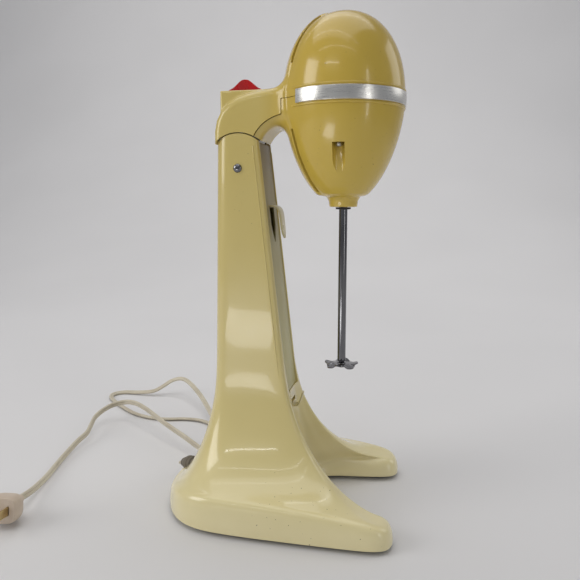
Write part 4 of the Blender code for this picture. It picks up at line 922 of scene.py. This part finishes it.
def squircle(a, b, count, power):
    """A rounded rectangle between an ellipse at power 2 and a box at a high power."""
    out = []
    for t in around(count):
        c, s = math.cos(t), math.sin(t)
        out.append((a * math.copysign(abs(c) ** (2 / power), c), b * math.copysign(abs(s) ** (2 / power), s)))
    return out


rows = []
steps = spline_rows([(0.0, 0.0036, 0.003), (0.005, 0.004, 0.0034), (0.0085, 0.0056, 0.0048),
                     (0.0115, 0.0092, 0.0076), (0.015, 0.0114, 0.0091), (0.02, 0.012, 0.0095),
                     (0.0262, 0.012, 0.0095), (0.0278, 0.0117, 0.0092), (PLUG_LENGTH, 0.011, 0.0085)],
                    4, False)
for z, a, b in steps:
    power = float(np.interp(z, [0.0, 0.005, 0.0085, 0.0115, 0.015, 0.02], [2.0, 2.0, 2.4, 3.0, 3.6, 4.0]))
    rows.append([(x, y, z) for x, y in squircle(a, b, 72, power)])
plug = skinned("plug_shell", rows)
blades = []
for tag, side in (("a", -1.0), ("b", 1.0)):
    x0, x1 = side * PRONG_OUT - PRONG_HALF_T, side * PRONG_OUT + PRONG_HALF_T
    prong = box(f"plug_prong_{tag}", (x0, -PRONG_HALF_W, PLUG_LENGTH - 0.006),
                (x1, PRONG_HALF_W, PLUG_LENGTH + 0.016), 0.0004)
    hole_at = (side * PRONG_OUT, 0.0, PLUG_LENGTH + 0.012)
    boolean(prong, cylinder("prong_hole", 0.0015, 0.004, hole_at, 24, "X"))
    prong.data.transform(plug_frame)
    blades.append(sharpen(prong, 40.0))
    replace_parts(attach(prong, "stand"), f"plug_blade_{tag}")
    boolean(plug, box("prong_seat", (x0 - PRONG_SEAT, -PRONG_HALF_W - PRONG_SEAT, PLUG_LENGTH - 0.0062),
                      (x1 + PRONG_SEAT, PRONG_HALF_W + PRONG_SEAT, PLUG_LENGTH + 0.01)))
plug.data.transform(plug_frame)
sharpen(plug, 40.0)
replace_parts(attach(plug, "stand"), "plug_body")

# ---- materials
def rgb(r, g, b):
    """A colour as it looks on screen, turned to linear light."""
    return tuple((c / 255) / 12.92 if c <= 10 else ((c / 255 + 0.055) / 1.055) ** 2.4
                 for c in (r, g, b)) + (1.0,)


class Look:
    """A node material over the object's own coordinates."""

    def __init__(self, name):
        self.mat = bpy.data.materials.new(name)
        self.mat.use_nodes = True
        self.tree = self.mat.node_tree
        self.shader = self.tree.nodes["Principled BSDF"]
        self.coords = self.tree.nodes.new("ShaderNodeTexCoord").outputs["Object"]

    def node(self, kind, **values):
        made = self.tree.nodes.new(kind)
        for key, value in values.items():
            if hasattr(value, "is_output"):
                self.tree.links.new(value, made.inputs[key])
            elif key in made.inputs:
                made.inputs[key].default_value = value
            else:
                setattr(made, key, value)
        return made

    def noise(self, scale, detail=3.0, rough=0.55, stretch=None):
        where = self.coords
        if stretch:
            where = self.node("ShaderNodeMapping", Vector=self.coords, Scale=stretch).outputs["Vector"]
        made = self.node("ShaderNodeTexNoise", Vector=where, Scale=scale, Detail=detail, Roughness=rough)
        return made.outputs[0]

    def ramp(self, value, low, high, a=0.0, b=1.0):
        ends = {"From Min": low, "From Max": high, "To Min": a, "To Max": b}
        return self.node("ShaderNodeMapRange", Value=value, **ends).outputs["Result"]

    def mix(self, factor, a, b):
        made = self.tree.nodes.new("ShaderNodeMix")
        made.data_type = "RGBA"
        for socket, value in ((made.inputs[0], factor), (made.inputs[6], a), (made.inputs[7], b)):
            if hasattr(value, "is_output"):
                self.tree.links.new(value, socket)
            else:
                socket.default_value = value
        return made.outputs[2]

    def height(self):
        return self.node("ShaderNodeSeparateXYZ", Vector=self.coords).outputs["Z"]

    def set(self, **values):
        names = {"color": "Base Color", "rough": "Roughness", "metal": "Metallic", "coat": "Coat Weight",
                 "coat_rough": "Coat Roughness", "ior": "IOR", "specular": "Specular IOR Level"}
        for key, value in values.items():
            socket = self.shader.inputs[names[key]]
            if hasattr(value, "is_output"):
                self.tree.links.new(value, socket)
            else:
                socket.default_value = value

    def bump(self, height, distance, strength=1.0):
        made = self.node("ShaderNodeBump", Height=height, Distance=distance, Strength=strength)
        before = self.shader.inputs["Normal"].links
        if before:
            self.tree.links.new(before[0].from_socket, made.inputs["Normal"])
        self.tree.links.new(made.outputs["Normal"], self.shader.inputs["Normal"])


def enamel(name, low_colour, high_colour, z_low, z_high, peel=0.6, foot_painted_light=None, coat=0.55, rough=0.16,
           neck_colour=None):
    """Old stoving enamel: gloss with a fine orange peel, faint stains and pin-prick chips, over a colour ramp
    by height; foot_painted_light paints a lighter foot as painted light.
    """
    look = Look(name)
    base = look.mix(look.ramp(look.height(), z_low, z_high), low_colour, high_colour)
    # Painted light: low down the colour turns to foot_painted_light, a lighter colour standing in for the
    # light that falls on the base.
    if foot_painted_light:
        base = look.mix(look.ramp(look.height(), 0.012, 0.05), foot_painted_light, base)
    if neck_colour:
        along = look.node("ShaderNodeSeparateXYZ", Vector=look.coords).outputs["X"]
        base = look.mix(look.ramp(along, -0.012, 0.01), neck_colour, base)
    stain = look.ramp(look.noise(14.0, 4.0, 0.6), 0.38, 0.72)
    worn = tuple(c * 0.9 for c in low_colour[:3]) + (1.0,)
    base = look.mix(look.ramp(stain, 0.0, 1.0, 0.0, 0.22), base, worn)
    chips = look.ramp(look.noise(620.0, 2.0, 0.5), 0.735, 0.75)
    where = look.ramp(look.noise(9.0, 2.0, 0.5), 0.52, 0.62)
    both = look.node("ShaderNodeMath", operation="MULTIPLY")
    look.tree.links.new(chips, both.inputs[0])
    look.tree.links.new(where, both.inputs[1])
    color = look.mix(both.outputs[0], base, rgb(70, 62, 44))
    look.set(color=color, rough=look.ramp(look.noise(30.0, 4.0, 0.6), 0.3, 0.7, rough, rough + 0.11),
             coat=coat, coat_rough=0.05, ior=1.5)
    look.bump(look.noise(260.0, 1.0, 0.4), 0.00003, peel)
    look.bump(look.noise(45.0, 2.0, 0.5), 0.0001, 0.35)
    return look.mat


def metal(name, colour, rough, stretch=None, depth=0.00002, scale=900.0, worn=0.12):
    """Metal with fine lines and dulled patches."""
    look = Look(name)
    lines = look.noise(scale, 3.0, 0.6, stretch)
    dull = tuple(c * 0.72 for c in colour[:3]) + (1.0,)
    look.set(color=look.mix(look.ramp(look.noise(60.0, 4.0, 0.6), 0.42, 0.75, 0.0, 0.55), colour, dull),
             metal=1.0, rough=look.ramp(lines, 0.3, 0.7, rough, rough + worn))
    look.bump(lines, depth, 0.5)
    return look.mat


def moulded(name, colour, other, rough, scale=300.0, depth=0.00005, coat=0.0):
    """Moulded plastic or rubber in two close shades, with a fine grain."""
    look = Look(name)
    look.set(color=look.mix(look.ramp(look.noise(40.0, 4.0, 0.6), 0.4, 0.7), colour, other),
             rough=look.ramp(look.noise(scale * 0.4, 3.0, 0.5), 0.3, 0.7, rough, min(rough + 0.14, 1.0)),
             coat=coat)
    look.bump(look.noise(scale, 2.0, 0.5), depth, 0.5)
    return look.mat


looks = {
    "head_enamel": enamel("head_enamel_look", rgb(206, 178, 78), rgb(192, 162, 60), 0.24, 0.36,
                          coat=0.35, neck_colour=rgb(204, 184, 110)),
    # Painted light and shade: the stand is painted lighter at its base and foot and darker up the column.
    "stand_enamel": enamel("stand_enamel_look", rgb(222, 207, 146), rgb(202, 182, 108), 0.02, 0.27,
                           foot_painted_light=rgb(236, 224, 176)),
    # Painted shade: the panel is painted much darker towards its top, under the overhanging neck.
    "panel_enamel": enamel("panel_enamel_look", rgb(186, 178, 122), rgb(122, 104, 56), 0.12, 0.27,
                           peel=0.4, coat=0.05, rough=0.36),
    "hook_enamel": enamel("hook_enamel_look", rgb(198, 186, 136), rgb(204, 192, 146), 0.1, 0.27,
                          peel=0.4, coat=0.2, rough=0.25),
    "brushed_silver": metal("brushed_look", (0.78, 0.77, 0.74, 1), 0.24, (1.0, 1.0, 34.0), 0.00002, 60.0),
    "polished_steel": metal("polished_look", (0.2, 0.2, 0.21, 1), 0.05, (1.0, 1.0, 0.2), 0.00001, 700.0, 0.08),
    "zinc_steel": metal("zinc_look", (0.48, 0.47, 0.44, 1), 0.3),
    "bare_steel": metal("bare_look", (0.45, 0.44, 0.43, 1), 0.36),
    "red_plastic": moulded("red_look", rgb(196, 10, 12), rgb(150, 6, 8), 0.2, 200.0, 0.00003, 0.05),
    "black_rubber": moulded("rubber_look", rgb(26, 26, 27), rgb(40, 39, 38), 0.52, 900.0, 0.00004),
    "black_plastic": moulded("black_look", rgb(24, 24, 25), rgb(34, 33, 33), 0.3),
    "nylon": moulded("nylon_look", rgb(214, 208, 190), rgb(196, 188, 168), 0.4),
    "laminated_iron": metal("iron_look", (0.22, 0.21, 0.2, 1), 0.42, (0.2, 0.2, 12.0), 0.00008, 200.0),
    "enamelled_copper": metal("copper_look", (0.62, 0.25, 0.12, 1), 0.3, (0.3, 0.3, 8.0), 0.00008, 300.0),
    "brass": metal("brass_look", (0.62, 0.47, 0.22, 1), 0.24),
    "carbon": moulded("carbon_look", rgb(34, 34, 36), rgb(46, 46, 48), 0.55),
    "bronze": metal("bronze_look", (0.42, 0.26, 0.13, 1), 0.35),
    "cord_vinyl": moulded("cord_look", rgb(206, 198, 178), rgb(190, 180, 160), 0.34, 500.0, 0.00004),
    # Painted shade for the cord's groove: a darker vinyl standing in for shade.
    "cord_groove": moulded("groove_shade_look", rgb(150, 138, 114), rgb(124, 112, 90), 0.5, 500.0, 0.00004),
    "gland_vinyl": moulded("gland_look", rgb(112, 104, 90), rgb(92, 84, 72), 0.45),
    "plug_vinyl": moulded("plug_look", rgb(212, 196, 178), rgb(196, 178, 160), 0.36, 400.0, 0.00004),
}


def dress(obj, slot):
    """Gives a piece the look of its slot."""
    obj.data.materials.clear()
    obj.data.materials.append(looks[slot])


for piece in (head, low_head, collar, *beads):
    dress(piece, "head_enamel")
for piece in (stand, *corner_lines):
    dress(piece, "stand_enamel")
dress(panel, "panel_enamel")
for piece in (hook, rest):
    dress(piece, "panel_enamel")
    piece.data.materials[0] = looks["hook_enamel"]
dress(band, "brushed_silver")
for piece in (pin, rod, agitator, hub):
    dress(piece, "polished_steel")
for piece in screws:
    dress(piece, "zinc_steel")
dress(button, "red_plastic")
for piece in (*pads, seal):
    dress(piece, "black_rubber")
dress(cord, "cord_vinyl")
# The cord's second material is the painted shade in its groove.
cord.data.materials.append(looks["cord_groove"])
dress(gland, "gland_vinyl")
dress(plug, "plug_vinyl")
for piece in blades:
    dress(piece, "brass")
for node in frame["nodes"].values():
    if node.type == "MESH":
        for k, old in enumerate(node.data.materials):
            if old and old.name.split(".")[0] in looks:
                node.data.materials[k] = looks[old.name.split(".")[0]]

# ---- floor, backdrop and light
SWEEP_Y, SWEEP_R = 0.7, 1.8
sweep = ([(-6.0, 0.0), (SWEEP_Y, 0.0)]
         + [(SWEEP_Y + SWEEP_R * math.sin(a), SWEEP_R - SWEEP_R * math.cos(a))
            for a in np.linspace(0.05, math.pi / 2, 30)]
         + [(2.5, 5.0)])
bm = bmesh.new()
left = [bm.verts.new((-5.0, y, z)) for y, z in sweep]
right = [bm.verts.new((5.0, y, z)) for y, z in sweep]
for k in range(len(sweep) - 1):
    bm.faces.new((left[k], right[k], right[k + 1], left[k + 1]))
mesh = bpy.data.meshes.new("floor")
bm.to_mesh(mesh)
bm.free()
floor = link("floor", mesh)
wall = Look("floor_look")
shade = wall.ramp(wall.noise(2.0, 2.0, 0.5), 0.35, 0.7)
wall.set(color=wall.mix(shade, rgb(224, 223, 224), rgb(220, 219, 220)), rough=0.75, specular=0.15)
floor.data.materials.append(wall.mat)


def softbox(name, place, aim_at, size, power, size_y=None):
    data = bpy.data.lights.new(name, "AREA")
    data.shape, data.size, data.size_y = "RECTANGLE", size, size_y or size
    data.energy, data.color = power, (1.0, 0.985, 0.96)
    made = bpy.data.objects.new(name, data)
    scene.collection.objects.link(made)
    made.location = place
    made.rotation_euler = (Vector(aim_at) - Vector(place)).to_track_quat("-Z", "Y").to_euler()


softbox("window", (-1.3, -0.7, 0.75), (0.0, 0.0, 0.15), 0.7, 7.6, 0.9)
softbox("top", (-0.1, 0.15, 1.5), (0.0, 0.1, 0.0), 1.5, 7.5)
softbox("rear", (1.2, 0.7, 0.9), (0.0, 0.0, 0.2), 0.7, 2.0)
softbox("table", (-0.27, -0.71, 0.006), (-0.27, -0.7, 1.0), 0.28, 1.4, 0.34)
softbox("high_front", (-0.75, -2.2, 1.75), (0.0, 0.0, 0.1), 1.2, 2.6, 0.06)
softbox("over_front", (-0.2, -1.05, 1.6), (0.0, 0.0, 0.05), 2.0, 0.9, 0.03)
softbox("over_top", (-0.2, -0.4, 1.6), (0.0, 0.0, 0.05), 2.0, 0.7, 0.03)
softbox("right_strip", (1.1, -0.9, 0.45), (0.0, 0.0, 0.15), 0.1, 1.4, 0.9)
softbox("backdrop", (-0.5, 0.75, 1.9), (-0.3, 2.4, 1.0), 2.6, 15.0, 0.6)
world = bpy.data.worlds.new("room")
scene.world = world
world.use_nodes = True
sky = world.node_tree.nodes["Background"].inputs
sky["Color"].default_value = (0.86, 0.88, 0.92, 1.0)
sky["Strength"].default_value = 0.3
scene.view_settings.view_transform = "Standard"
scene.view_settings.look = "None"
